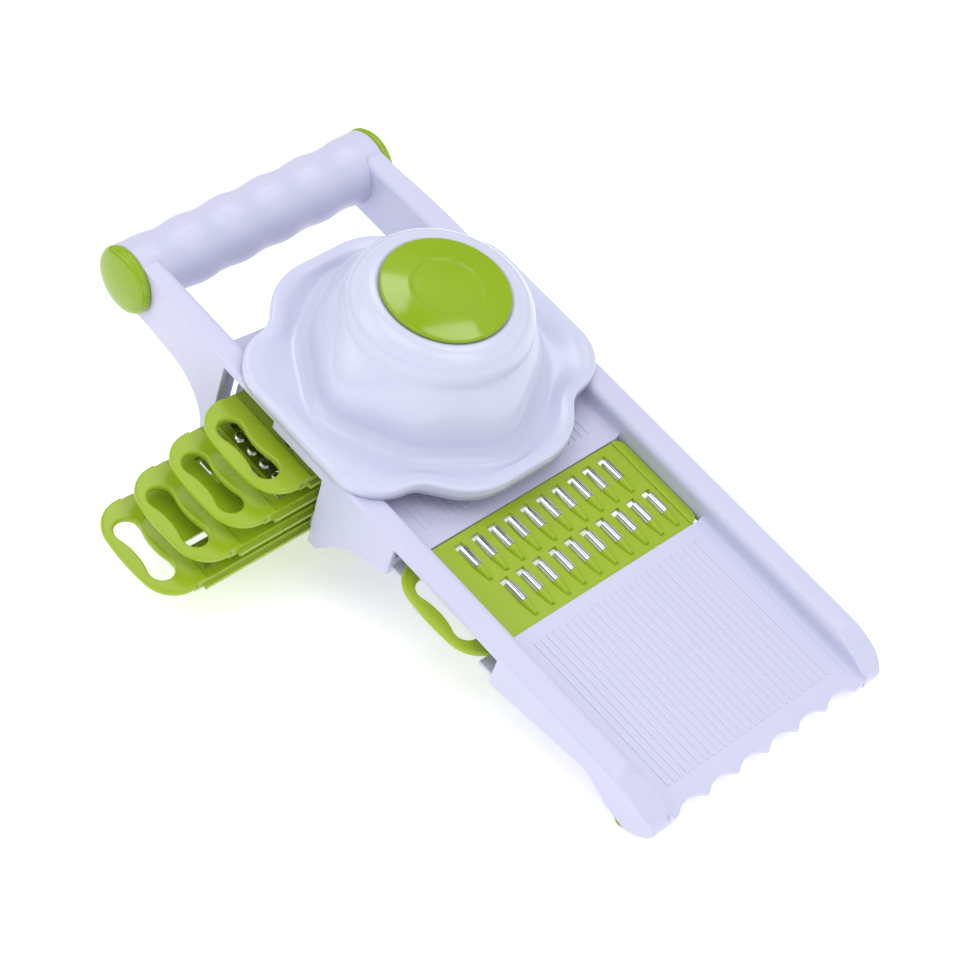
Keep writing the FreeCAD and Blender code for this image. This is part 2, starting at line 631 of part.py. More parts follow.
def loop_outline():
    """Finger loop in the plan: straight shoulders, round corners and a bowed bar."""
    half = LOOP_WIDTH / 2
    bow_centre = LOOP_BOW_RADIUS - LOOP_REACH
    corner_u = half - LOOP_CORNER
    corner_v = bow_centre - math.sqrt((LOOP_BOW_RADIUS - LOOP_CORNER) ** 2 - corner_u ** 2)
    lean = math.atan2(corner_u, bow_centre - corner_v)
    turn = (math.pi / 2 - lean) / 2

    def on_corner(angle):
        return Vector(corner_u + LOOP_CORNER * math.cos(angle), corner_v - LOOP_CORNER * math.sin(angle), 0)

    def flipped(point):
        return Vector(-point.x, point.y, 0)

    start, middle, end = on_corner(0), on_corner(turn), on_corner(2 * turn)
    root = Vector(half, 0, 0)
    edges = [
        Part.LineSegment(root, start).toShape(),
        Part.Arc(start, middle, end).toShape(),
        Part.Arc(end, Vector(0, -LOOP_REACH, 0), flipped(end)).toShape(),
        Part.Arc(flipped(end), flipped(middle), flipped(start)).toShape(),
        Part.LineSegment(flipped(start), flipped(root)).toShape(),
        Part.LineSegment(flipped(root), root).toShape(),
    ]
    return Part.Face(Part.Wire(edges))


def loop_hole():
    """Bone-shaped finger hole: round ends and a gentle waist, in tangent arcs."""
    reach = LOOP_HOLE_SPACING / 2
    waist = LOOP_HOLE_NECK / 2
    end = LOOP_HOLE_END_RADIUS
    waist_radius = (reach ** 2 + waist ** 2 - end ** 2) / (2 * (end - waist))
    share = end / (end + waist_radius)
    touch_u = reach * (1 - share)
    touch_v = (waist + waist_radius) * share

    def at(u, v):
        return Vector(u, v - LOOP_HOLE_CENTRE, 0)

    edges = [
        Part.Arc(at(touch_u, -touch_v), at(reach + end, 0), at(touch_u, touch_v)).toShape(),
        Part.Arc(at(touch_u, touch_v), at(0, waist), at(-touch_u, touch_v)).toShape(),
        Part.Arc(at(-touch_u, touch_v), at(-reach - end, 0), at(-touch_u, -touch_v)).toShape(),
        Part.Arc(at(-touch_u, -touch_v), at(0, -waist), at(touch_u, -touch_v)).toShape(),
    ]
    return Part.Face(Part.Wire(edges))


def finger_loop():
    """Loop with rounded edges, ready to join the insert's frame."""
    down = Vector(0, 0, -LOOP_THICKNESS)
    loop = loop_outline().extrude(down).cut(loop_hole().extrude(down))
    soft = []
    for edge in loop.Edges:
        bounds = edge.BoundBox
        flat = bounds.ZLength < SEAT_FIT
        at_root = bounds.YMin > -SEAT_FIT
        if flat and not at_root:
            soft.append(edge)
    return loop.makeFillet(LOOP_EDGE_ROUND, soft)


def insert_frame():
    """Green frame shared by all inserts: loop, ridges, recessed plate, skirts and tongues."""
    half = INSERT_WIDTH / 2
    frame = plan_face([
        (-half, 0, 0),
        (half, 0, 0),
        (half, INSERT_LENGTH, INSERT_CORNER),
        (-half, INSERT_LENGTH, INSERT_CORNER),
    ]).extrude(Vector(0, 0, -INSERT_THICKNESS))
    field = box(-half, half, FIELD_START, FIELD_END, PLATE_TOP, 0)
    under_end = INSERT_LENGTH - SKIRT
    under = box(-half + SKIRT, half - SKIRT, NEAR_BAR, under_end, -INSERT_THICKNESS, PLATE_BOTTOM)
    frame = frame.cut([field, under])
    tongue_start = NEAR_BAR
    tongue_end = INSERT_LENGTH - INSERT_CORNER
    tongues = [
        box(u0, u1, tongue_start, tongue_end, -INSERT_THICKNESS, TONGUE_THICKNESS - INSERT_THICKNESS)
        for u0, u1 in ((-half - TONGUE_REACH, -half + SKIRT / 2), (half - SKIRT / 2, half + TONGUE_REACH))
    ]
    frame = frame.fuse([finger_loop()] + tongues).removeSplitter()
    crests = []
    for edge in frame.Edges:
        bounds = edge.BoundBox
        level = bounds.ZLength < SEAT_FIT and abs(bounds.ZMax) < SEAT_FIT
        at_field = min(abs(bounds.YMin - FIELD_START), abs(bounds.YMax - FIELD_END)) < SEAT_FIT
        if level and at_field and bounds.YLength < SEAT_FIT:
            crests.append(edge)
    return frame.makeFillet(RIDGE_ROUND, crests)


def scoop_places(first_row, row_spacing, pitch, count):
    """Mouth points of two staggered rows of scoops."""
    places = []
    for row in (0, 1):
        u = first_row + row * row_spacing - INSERT_WIDTH / 2
        for index in range(count):
            v = FIELD_MIDDLE + SCOOP_SHIFT + (index - (count - 1) / 2 + (row - 0.5) / 2) * pitch
            places.append((u, v))
    return places


def scoop_solid(radius, length):
    """Half-round steel scoop with two legs that pass down through the plate."""
    bore = radius - SCOOP_STEEL
    low = -PLATE_THICKNESS
    edges = [
        Part.Arc(Vector(0, -radius, 0), Vector(0, 0, radius), Vector(0, radius, 0)).toShape(),
        Part.LineSegment(Vector(0, radius, 0), Vector(0, radius, low)).toShape(),
        Part.LineSegment(Vector(0, radius, low), Vector(0, bore, low)).toShape(),
        Part.LineSegment(Vector(0, bore, low), Vector(0, bore, 0)).toShape(),
        Part.Arc(Vector(0, bore, 0), Vector(0, 0, bore), Vector(0, -bore, 0)).toShape(),
        Part.LineSegment(Vector(0, -bore, 0), Vector(0, -bore, low)).toShape(),
        Part.LineSegment(Vector(0, -bore, low), Vector(0, -radius, low)).toShape(),
        Part.LineSegment(Vector(0, -radius, low), Vector(0, -radius, 0)).toShape(),
    ]
    return Part.Face(Part.Wire(edges)).extrude(Vector(length, 0, 0))


def shredder(places, radius, length, ramp):
    """Frame and scoops of a shredder insert: a slot, a steel scoop and a green ramp at each place."""
    slots = []
    ramps = []
    scoops = []
    for u, v in places:
        mouth = u + SCOOP_MOUTH_GAP
        tail = mouth + length
        reach = radius + SEAT_FIT
        slots.append(box(u, tail, v - reach, v + reach, PLATE_BOTTOM, PLATE_TOP))
        cone = Part.makeCone(radius, RAMP_TIP_RADIUS, ramp, Vector(tail, v, PLATE_TOP), Vector(1, 0, 0))
        room = box(tail, tail + ramp, v - radius, v + radius, PLATE_TOP - WALL / 2, radius)
        ramps.append(cone.common(room))
        scoop = scoop_solid(radius, length)
        scoop.translate(Vector(mouth, v, PLATE_TOP))
        scoops.append(scoop)
    frame = insert_frame().cut(slots).fuse(ramps).removeSplitter()
    return frame, Part.makeCompound(scoops)


def blade_places():
    """Rivet points along a slicer blade."""
    u = INSERT_WIDTH / 2 - BLADE_FRONT_MARGIN - (BLADE_WIDTH - BLADE_OVERHANG) / 2
    span = FIELD_END - FIELD_START - 2 * RIVET_END_MARGIN
    return [
        (u, FIELD_START + RIVET_END_MARGIN + span * index / (RIVET_COUNT - 1))
        for index in range(RIVET_COUNT)
    ]


def slicer(cut_depth):
    """Frame, blade and rivets of a slicer insert with its platform lowered by the cut."""
    half = INSERT_WIDTH / 2
    back = half - BLADE_FRONT_MARGIN
    edge = back - BLADE_WIDTH
    slot_front = edge + BLADE_OVERHANG
    slot_rear = slot_front - SLICE_SLOT
    start = FIELD_START + BLADE_END_GAP
    end = FIELD_END - BLADE_END_GAP
    platform = box(-half, slot_rear, FIELD_START, FIELD_END, PLATE_TOP - cut_depth, PLATE_TOP)
    slot = box(slot_rear, slot_front, start, end, PLATE_BOTTOM, PLATE_TOP)
    shank = Vector(0, 0, -1)
    holes = [
        rod(RIVET_RADIUS + SEAT_FIT, PLATE_RECESS + PLATE_THICKNESS, Vector(u, v, 0), shank)
        for u, v in blade_places()
    ]
    frame = insert_frame().cut([platform, slot] + holes)
    top = PLATE_TOP + BLADE_THICKNESS
    blade = side_face([
        (edge, PLATE_TOP, 0),
        (back, PLATE_TOP, 0),
        (back, top, 0),
        (edge + BLADE_EDGE, top, 0),
    ]).extrude(Vector(0, end - start, 0))
    blade.translate(Vector(0, start, 0))
    blade = blade.cut(holes)
    rivets = []
    for u, v in blade_places():
        shaft = rod(RIVET_RADIUS, BLADE_THICKNESS + PLATE_THICKNESS, Vector(u, v, top), shank)
        rivets.append(shaft.fuse(rod(RIVET_HEAD_RADIUS, RIVET_HEAD_HEIGHT, Vector(u, v, top), shank * -1)))
    return frame, blade, Part.makeCompound(rivets)


def grater():
    """Frame and punched steel plate of the grater insert."""
    half = INSERT_WIDTH / 2 - GRATER_MARGIN
    start = FIELD_START + GRATER_MARGIN
    end = FIELD_END - GRATER_MARGIN
    seat = box(-half + GRATER_SEAT, half - GRATER_SEAT, start + GRATER_SEAT, end - GRATER_SEAT,
               PLATE_BOTTOM, PLATE_TOP)
    frame = insert_frame().cut(seat)
    top = PLATE_TOP + GRATER_STEEL
    plate = box(-half, half, start, end, PLATE_TOP, top)
    crowns = []
    holes = []
    up = Vector(0, 0, 1)
    for column in range(GRATER_COLUMNS):
        for row in range(GRATER_ROWS):
            u = (column - (GRATER_COLUMNS - 1) / 2) * GRATER_PITCH
            v = FIELD_MIDDLE + (row - (GRATER_ROWS - 1) / 2) * GRATER_PITCH
            crown_top = GRATER_HOLE_RADIUS + SCOOP_STEEL
            crowns.append(Part.makeCone(GRATER_CROWN_RADIUS, crown_top, GRATER_STEEL + GRATER_CROWN_HEIGHT,
                                        Vector(u, v, PLATE_TOP), up))
            holes.append(rod(GRATER_HOLE_RADIUS, BEYOND, Vector(u, v, PLATE_TOP), up))
    return frame, plate.fuse(crowns).cut(holes).removeSplitter()


def brim_block(half_u, half_v, rounding, low, high):
    """Rounded block of the guard's brim about the guard's middle."""
    face = plan_face([
        (-half_u, -half_v, rounding),
        (half_u, -half_v, rounding),
        (half_u, half_v, rounding),
        (-half_u, half_v, rounding),
    ])
    block = face.extrude(Vector(0, 0, high - low))
    block.translate(Vector(0, 0, low))
    return block


def lobed_ring(radius, lobe, n):
    """Closed smooth ring with four soft lobes, along and across the deck."""
    points = []
    for step in range(RING_STEPS):
        angle = 2 * math.pi * step / RING_STEPS
        reach = radius + lobe * math.cos(4 * angle)
        points.append(Vector(reach * math.cos(angle), reach * math.sin(angle), n))
    curve = Part.BSplineCurve()
    curve.interpolate(points, PeriodicFlag=True)
    return Part.Wire(curve.toShape())


def dome_solid(inset):
    """Dome of the guard, lobed below its shoulder and rounded over above it, shrunk by an inset."""
    top = DOME_TOP - inset
    shoulder = BRIM_TOP + DOME_SHOULDER_HEIGHT
    seam = lobed_ring(DOME_SHOULDER_RADIUS - inset, 0, shoulder)
    skirt = [
        lobed_ring(DOME_BASE_RADIUS - inset, DOME_BASE_LOBE, BRIM_TOP - HOLDER_WALL),
        lobed_ring(DOME_WAIST_RADIUS - inset, DOME_WAIST_LOBE, BRIM_TOP + DOME_WAIST_HEIGHT),
        seam,
    ]
    crown = [seam]
    for step in range(1, CROWN_STEPS + 1):
        angle = math.pi / 2 * step / CROWN_STEPS
        radius = DOME_TOP_RADIUS + (DOME_SHOULDER_RADIUS - DOME_TOP_RADIUS) * math.cos(angle)
        crown.append(lobed_ring(radius - inset, 0, shoulder + (top - shoulder) * math.sin(angle)))
    return Part.makeLoft(skirt, True).fuse(Part.makeLoft(crown, True))


def holder_shell():
    """White guard: lobed brim with a turned-down lip, and a hollow dome."""
    half_u = BRIM_SIDE_LENGTH / 2
    half_w = BRIM_END_WIDTH / 2
    wall = HOLDER_WALL
    outer = brim_block(half_u, BRIM_SIDE_REACH, BRIM_SIDE_ROUND, BRIM_LOW, BRIM_TOP)
    outer = outer.fuse(brim_block(BRIM_END_REACH, half_w, BRIM_END_ROUND, BRIM_END_LOW, BRIM_TOP))
    roof = BRIM_TOP - wall
    floor = BRIM_END_LOW - wall
    inner = brim_block(half_u - wall, BRIM_SIDE_REACH - wall, BRIM_SIDE_ROUND - wall, floor, roof)
    inner = inner.fuse(
        brim_block(BRIM_END_REACH - wall, half_w - wall, BRIM_END_ROUND - wall, floor, roof))
    shell = outer.cut(inner).fuse(dome_solid(0)).cut(dome_solid(wall))
    down = Vector(0, 0, -1)
    hole = rod(CAP_BOSS_RADIUS + SEAT_FIT, wall * 2, Vector(0, 0, DOME_TOP), down)
    return shell.cut(hole).removeSplitter()


def holder_cap():
    """Round cap on the dome's top, slightly domed, with a shallow round dish and a boss below."""
    rise = HOLDER_CAP_RIM + HOLDER_CAP_DOME
    radius = (HOLDER_CAP_RADIUS ** 2 + HOLDER_CAP_DOME ** 2) / (2 * HOLDER_CAP_DOME)
    up = Vector(0, 0, 1)
    base = Vector(0, 0, DOME_TOP)
    cap = rod(HOLDER_CAP_RADIUS, rise, base, up)
    cap = cap.common(Part.makeSphere(radius, base + up * (rise - radius)))
    dish = rod(CAP_DISH_RADIUS, CAP_DISH_DEPTH, base + up * (rise - CAP_DISH_DEPTH), up)
    boss = rod(CAP_BOSS_RADIUS, HOLDER_WALL + CAP_BOSS_DEPTH, base + up * HOLDER_CAP_RIM, up * -1)
    pilot = rod(RACK_SCREW_RADIUS + SEAT_FIT, CAP_BOSS_DEPTH, base - up * (CAP_BOSS_DEPTH + HOLDER_WALL), up)
    return cap.cut(dish).fuse(boss).cut(pilot).removeSplitter()


def prong_points():
    """Places of the prongs in the plan, ring by ring."""
    points = []
    rings = ((PRONG_INNER_RING, PRONG_INNER_COUNT), (PRONG_OUTER_RING, PRONG_OUTER_COUNT))
    for radius, count in rings:
        for index in range(count):
            angle = 2 * math.pi * index / count
            points.append((radius * math.cos(angle), radius * math.sin(angle)))
    return points


def prong_disc():
    """Disc that carries the prongs, on a hollow post under the dome's top."""
    up = Vector(0, 0, 1)
    low = DOME_TOP - HOLDER_WALL - PRONG_DISC_DROP
    disc = rod(PRONG_DISC_RADIUS, PRONG_DISC_THICKNESS, Vector(0, 0, low), up)
    disc = disc.fuse(rod(PRONG_POST_RADIUS, PRONG_DISC_DROP, Vector(0, 0, low), up))
    boss_low = DOME_TOP + HOLDER_CAP_RIM - HOLDER_WALL - CAP_BOSS_DEPTH
    cuts = [rod(CAP_BOSS_RADIUS + SEAT_FIT, BEYOND, Vector(0, 0, boss_low), up)]
    cuts.append(rod(RACK_SCREW_RADIUS + SEAT_FIT, BEYOND, Vector(0, 0, low), up))
    for u, v in prong_points():
        cuts.append(rod(PRONG_RADIUS + SEAT_FIT, PRONG_SEAT, Vector(u, v, low), up))
    return disc.cut(cuts).removeSplitter()


def prongs():
    """Pointed steel prongs that stand down from the disc."""
    low = DOME_TOP - HOLDER_WALL - PRONG_DISC_DROP
    down = Vector(0, 0, -1)
    pins = []
    for u, v in prong_points():
        head = Vector(u, v, low + PRONG_SEAT)
        shaft = rod(PRONG_RADIUS, PRONG_SEAT + PRONG_LENGTH - PRONG_POINT, head, down)
        neck = Vector(u, v, low - PRONG_LENGTH + PRONG_POINT)
        tip = Part.makeCone(PRONG_RADIUS, PRONG_TIP_RADIUS, PRONG_POINT, neck, down)
        pins.append(shaft.fuse(tip))
    return Part.makeCompound(pins)


def holder_screw():
    """Screw up through the prong disc into the cap's boss."""
    low = DOME_TOP - HOLDER_WALL - PRONG_DISC_DROP
    return screw(RACK_SCREW_RADIUS, PRONG_DISC_DROP, Vector(0, 0, low), Vector(0, 0, 1))


def moved(shape, u, v, n):
    """The shape, shifted in the deck's frame."""
    shape.translate(Vector(u, v, n))
    return shape


def stored(index, *shapes):
    """An insert's pieces in the rack, at the given level and drawn out as it stands."""
    v = STORE_SHOULDER - STORE_PULLS[index]
    return [moved(shape, -RACK_SETBACK, v, STORE_TOP - index * STORE_PITCH) for shape in shapes]


def slicer_parts():
    """Every piece of the slicer in the deck's frame, by name."""
    parts = {
        "body_frame": body_frame(),
        "handle_grip": handle_grip(),
        "handle_cap_near": handle_cap(-1),
        "handle_cap_far": handle_cap(1),
        "handle_screws": handle_screws(),
        "rack_front_guide": rack_guide(1),
        "rack_rear_guide": rack_guide(-1),
        "rack_screws": rack_screws(),
    }
    for side, word in ((-1, "near"), (1, "far")):
        parts["front_foot_" + word] = rubber_foot(FRONT_FOOT_U, side, FOOT_RADIUS)
        parts["rear_foot_" + word] = rubber_foot(REAR_FOOT_U, side, FOOT_RADIUS)
    coarse = scoop_places(COARSE_FIRST_ROW, COARSE_ROW_SPACING, COARSE_PITCH, COARSE_COUNT)
    frame, scoops = shredder(coarse, COARSE_RADIUS, COARSE_LENGTH, COARSE_RAMP)
    parts["coarse_shredder_frame"] = moved(frame, WINDOW / 2, SHOULDER, 0)
    parts["coarse_shredder_scoops"] = moved(scoops, WINDOW / 2, SHOULDER, 0)
    names = ("thick_slicer_frame", "thick_slicer_blade", "thick_slicer_rivets")
    parts.update(zip(names, stored(0, *slicer(THICK_CUT))))
    parts.update(zip(("grater_frame", "grater_plate"), stored(1, *grater())))
    fine = scoop_places(FINE_FIRST_ROW, FINE_ROW_SPACING, FINE_PITCH, FINE_COUNT)
    names = ("fine_shredder_frame", "fine_shredder_scoops")
    parts.update(zip(names, stored(2, *shredder(fine, FINE_RADIUS, FINE_LENGTH, FINE_RAMP))))
    names = ("thin_slicer_frame", "thin_slicer_blade", "thin_slicer_rivets")
    parts.update(zip(names, stored(3, *slicer(THIN_CUT))))
    guard = {
        "holder_shell": holder_shell(),
        "holder_cap": holder_cap(),
        "holder_prong_disc": prong_disc(),
        "holder_prongs": prongs(),
        "holder_screw": holder_screw(),
    }
    for name, shape in guard.items():
        parts[name] = moved(shape, -HOLDER_SETBACK, 0, 0)
    return parts


def main():
    """Tilt the pieces as the slicer stands, put the origin under its middle and write them out."""
    parts = slicer_parts()
    for shape in parts.values():
        shape.rotate(Vector(0, 0, 0), Vector(0, 1, 0), DECK_TILT)
    extent = Part.makeCompound(list(parts.values())).optimalBoundingBox(False, False)
    shift = Vector(-extent.Center.x, -extent.Center.y, -extent.ZMin)
    os.makedirs("parts", exist_ok=True)
    for name, shape in parts.items():
        shape.translate(shift)
        shape.exportStep("parts/" + name + ".step")
        print(name, len(shape.Solids), "solids", round(shape.Volume / 1000, 2), "cm3", shape.isValid())
    print("extent", extent.XLength, extent.YLength, extent.ZLength, "shift", shift)


main()
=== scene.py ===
"""Dressed scene of a tilted kitchen slicer with stored inserts and a sliding hand guard."""

import logging
import math
from dataclasses import dataclass
from enum import Enum
from typing import Iterable, Sequence

import bmesh
import bpy
from mathutils import Matrix, Vector
from mathutils.bvhtree import BVHTree
from mathutils.kdtree import KDTree


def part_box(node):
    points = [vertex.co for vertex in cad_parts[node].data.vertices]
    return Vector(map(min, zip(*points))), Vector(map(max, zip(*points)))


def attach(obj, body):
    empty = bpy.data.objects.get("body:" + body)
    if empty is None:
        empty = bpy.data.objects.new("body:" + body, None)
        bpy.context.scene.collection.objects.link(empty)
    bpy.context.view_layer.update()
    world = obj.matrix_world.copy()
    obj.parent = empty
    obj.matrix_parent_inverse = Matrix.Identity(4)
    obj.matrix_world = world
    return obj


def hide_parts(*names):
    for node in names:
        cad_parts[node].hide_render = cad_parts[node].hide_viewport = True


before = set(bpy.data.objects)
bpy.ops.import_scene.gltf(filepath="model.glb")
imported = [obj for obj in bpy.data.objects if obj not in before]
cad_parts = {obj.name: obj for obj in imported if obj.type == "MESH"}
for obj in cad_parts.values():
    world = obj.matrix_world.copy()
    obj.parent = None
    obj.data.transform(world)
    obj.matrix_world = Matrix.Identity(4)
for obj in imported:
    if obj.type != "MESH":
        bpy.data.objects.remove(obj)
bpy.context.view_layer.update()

MM = 0.001
TINY = 1e-9
FRAME_PIXELS = 960
LATHE_STEPS = 128
NOISE_RANGE = (0.3, 0.7)
PURE_WHITE = (1.0, 1.0, 1.0, 1.0)
EDGE_SHARES = "bevel_weight_edge"
GUARD_MIDDLE = -59.5 * MM

Colour = tuple[float, float, float]
Point = tuple[float, float, float]
Pair = tuple[float, float]

log = logging.getLogger("slicer")


class Slot(Enum):
    """Material slots of the record that modelled pieces take."""

    WHITE = "white_plastic"
    GREEN = "green_plastic"
    RUBBER = "green_rubber"
    STEEL = "polished_steel"


class Body(Enum):
    """Bodies that pieces ride on."""

    BASE = "base"
    COARSE = "coarse_shredder"
    THICK = "thick_slicer"
    GRATER = "grater"
    FINE = "fine_shredder"
    THIN = "thin_slicer"
    GUARD = "hand_guard"


class Cutter(Enum):
    """Kinds of steel cutter, as the construction's nodes name them."""

    SCOOPS = "scoops"
    BLADE = "blade"
    PLATE = "plate"


class End(Enum):
    """Ends of the slicer, as the construction's nodes name them."""

    FRONT = "front"
    REAR = "rear"


class Side(Enum):
    """Sides of the slicer, with the way that v runs on each."""

    NEAR = -1.0
    FAR = 1.0


class Axis(Enum):
    """Axes of the deck's frame that pieces are turned about."""

    ACROSS = "v"
    SQUARE = "n"


@dataclass(frozen=True)
class Deck:
    """The slicer's own frame: u along the deck, v across it, n square on it.

    Its datum is the rear edge of the blade window, on the centre line, at the deck's top.
    """

    tilt: float = math.radians(16.0)
    grip_u: float = -154.7 * MM
    grip_n: float = -3.1 * MM

    def matrix(self) -> Matrix:
        """Work out where the deck stands, from the place of the construction's grip.

        Returns:
            The move from the deck's frame to the shared frame.
        """
        low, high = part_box("handle_grip")
        turn = Matrix.Rotation(self.tilt, 4, "Y")
        grip = turn @ Vector((self.grip_u, 0.0, self.grip_n))
        return Matrix.Translation((low + high) / 2 - grip) @ turn


DECK = Deck()
DECK_PLACE = DECK.matrix()


class NodeSheet:
    """Node tree of one material, with short calls to add and join nodes."""

    def __init__(self, name: str) -> None:
        """Start an empty tree with a principled shader.

        Args:
            name: Name of the new material.
        """
        self.material = bpy.data.materials.new(name)
        self.material.use_nodes = True
        self.tree = self.material.node_tree
        self.tree.nodes.clear()
        output = self.tree.nodes.new("ShaderNodeOutputMaterial")
        self.shader = self.tree.nodes.new("ShaderNodeBsdfPrincipled")
        self.join(self.shader.outputs["BSDF"], output.inputs["Surface"])
        self.place = self.tree.nodes.new("ShaderNodeTexCoord").outputs["Object"]

    def join(self, source: bpy.types.NodeSocket, target: bpy.types.NodeSocket) -> None:
        """Link two sockets."""
        self.tree.links.new(source, target)

    def set(self, **values: object) -> None:
        """Set the shader's sockets, named with underscores for spaces."""
        for key, value in values.items():
            self.shader.inputs[key.replace("_", " ")].default_value = value

    def stretched(self, scale: Point) -> bpy.types.NodeSocket:
        """Return the texture place, stretched along the axes.

        Args:
            scale: Factor along each axis.

        Returns:
            The stretched vector socket.
        """
        node = self.tree.nodes.new("ShaderNodeMapping")
        node.inputs["Scale"].default_value = scale
        self.join(self.place, node.inputs["Vector"])
        return node.outputs["Vector"]

    def noise(self, scale: float, detail: float = 3.0,
              at: bpy.types.NodeSocket | None = None) -> bpy.types.NodeSocket:
        """Add a noise texture.

        Args:
            scale: Cells per metre.
            detail: Octaves.
            at: Place socket, or None for the plain one.

        Returns:
            The noise value's socket.
        """
        node = self.tree.nodes.new("ShaderNodeTexNoise")
        node.inputs["Scale"].default_value = scale
        node.inputs["Detail"].default_value = detail
        self.join(at or self.place, node.inputs["Vector"])
        return node.outputs["Fac"]

    def spread(self, value: bpy.types.NodeSocket, low: float, high: float) -> bpy.types.NodeSocket:
        """Map a noise value onto a range.

        Args:
            value: Noise socket.
            low: Result at the low end of the noise's range.
            high: Result at its high end.

        Returns:
            The mapped socket.
        """
        node = self.tree.nodes.new("ShaderNodeMapRange")
        node.interpolation_type = "SMOOTHSTEP"
        ends = {"From Min": NOISE_RANGE[0], "From Max": NOISE_RANGE[1], "To Min": low, "To Max": high}
        for key, end in ends.items():
            node.inputs[key].default_value = end
        self.join(value, node.inputs["Value"])
        return node.outputs["Result"]

    def blend(self, amount: bpy.types.NodeSocket, first: Colour, second: Colour) -> bpy.types.NodeSocket:
        """Mix two colours.

        Args:
            amount: Socket with the share of the second colour.
            first: First colour.
            second: Second colour.

        Returns:
            The mixed colour's socket.
        """
        node = self.tree.nodes.new("ShaderNodeMix")
        node.data_type = "RGBA"
        node.inputs["A"].default_value = (*first, 1.0)
        node.inputs["B"].default_value = (*second, 1.0)
        self.join(amount, node.inputs["Factor"])
        return node.outputs["Result"]

    def bump(self, height: bpy.types.NodeSocket, depth: float, strength: float) -> None:
        """Add a bump to the shader's normal.

        Args:
            height: Height socket.
            depth: Full height of the relief in metres.
            strength: Share of the relief that is used.
        """
        node = self.tree.nodes.new("ShaderNodeBump")
        node.inputs["Distance"].default_value = depth
        node.inputs["Strength"].default_value = strength
        self.join(height, node.inputs["Height"])
        self.join(node.outputs["Normal"], self.shader.inputs["Normal"])


@dataclass(frozen=True)
class PlasticFinish:
    """Moulded plastic: a tint that drifts slightly, a fine mould grain and an uneven gloss.

    The grain and the scales are in cells per metre.
    """

    name: str
    tint: Colour
    drift: Colour
    gloss: Pair
    grain: float
    grain_depth: float = 0.02 * MM
    grain_strength: float = 0.12
    grain_detail: float = 2.0
    drift_scale: float = 28.0
    drift_detail: float = 4.0
    gloss_scale: float = 75.0
    gloss_detail: float = 5.0
    specular: float = 0.5
    refraction: float = 1.48

    def material(self) -> bpy.types.Material:
        """Make the finish.

        Returns:
            The finish as a new material.
        """
        sheet = NodeSheet(self.name)
        drift = sheet.spread(sheet.noise(self.drift_scale, self.drift_detail), 0.0, 1.0)
        sheet.join(sheet.blend(drift, self.tint, self.drift), sheet.shader.inputs["Base Color"])
        gloss = sheet.spread(sheet.noise(self.gloss_scale, self.gloss_detail), *self.gloss)
        sheet.join(gloss, sheet.shader.inputs["Roughness"])
        sheet.set(Specular_IOR_Level=self.specular, IOR=self.refraction)
        sheet.bump(sheet.noise(self.grain, self.grain_detail), self.grain_depth, self.grain_strength)
        return sheet.material


@dataclass(frozen=True)
class SteelFinish:
    """Stainless steel with fine draw lines, which are noise with so many cells per metre along each axis."""

    name: str
    tint: Colour
    drift: Colour
    gloss: Pair
    lines: Point
    line_depth: float = 0.004 * MM
    line_strength: float = 0.25
    drift_scale: float = 160.0

    def material(self) -> bpy.types.Material:
        """Make the finish.

        Returns:
            The finish as a new material.
        """
        sheet = NodeSheet(self.name)
        drift = sheet.spread(sheet.noise(self.drift_scale), 0.0, 1.0)
        sheet.join(sheet.blend(drift, self.tint, self.drift), sheet.shader.inputs["Base Color"])
        lines = sheet.noise(1.0, at=sheet.stretched(self.lines))
        sheet.join(sheet.spread(lines, *self.gloss), sheet.shader.inputs["Roughness"])
        sheet.set(Metallic=1.0)
        sheet.bump(lines, self.line_depth, self.line_strength)
        return sheet.material


WHITE_MOULDING = PlasticFinish(
    name="cool_white_moulding", tint=(0.585, 0.59, 0.78), drift=(0.593, 0.598, 0.785),
    gloss=(0.29, 0.32), grain=1500.0)
GUARD_MOULDING = PlasticFinish(
    name="smooth_white_guard", tint=(0.6, 0.62, 0.79), drift=(0.608, 0.628, 0.795),
    gloss=(0.17, 0.2), grain=900.0, grain_strength=0.05)
GREEN_INSERT = PlasticFinish(
    name="lime_insert", tint=(0.315, 0.45, 0.015), drift=(0.33, 0.47, 0.018),
    gloss=(0.22, 0.3), grain=1300.0)
GREEN_CAP = PlasticFinish(
    name="lime_cap", tint=(0.255, 0.40, 0.014), drift=(0.275, 0.425, 0.018),
    gloss=(0.07, 0.11), grain=700.0, grain_strength=0.04)
FOOT_RUBBER = PlasticFinish(
    name="lime_rubber", tint=(0.28, 0.40, 0.03), drift=(0.32, 0.45, 0.04),
    gloss=(0.55, 0.7), grain=2200.0, grain_strength=0.4, specular=0.3)
BRIGHT_STEEL = SteelFinish(
    name="bright_scoop_steel", tint=(0.80, 0.80, 0.82), drift=(0.74, 0.74, 0.77),
    gloss=(0.02, 0.05), lines=(120.0, 4000.0, 4000.0), line_strength=0.08)
SCREW_STEEL = SteelFinish(
    name="plain_screw_steel", tint=(0.58, 0.58, 0.60), drift=(0.50, 0.50, 0.52),
    gloss=(0.28, 0.42), lines=(1800.0, 1800.0, 1800.0))


@dataclass(frozen=True)
class SoftBox:
    """A soft box, with its size in metres and its power in watts."""

    name: str
    place: Point
    aim: Point
    size: Pair
    power: float

    def hang(self) -> None:
        """Make the light at its place and turn it to the point that it faces."""
        lamp = bpy.data.lights.new(self.name, "AREA")
        lamp.shape = "RECTANGLE"
        lamp.size, lamp.size_y = self.size
        lamp.energy = self.power
        holder = bpy.data.objects.new(self.name, lamp)
        bpy.context.scene.collection.objects.link(holder)
        holder.location = self.place
        holder.rotation_euler = (Vector(self.aim) - Vector(self.place)).to_track_quat("-Z", "Y").to_euler()


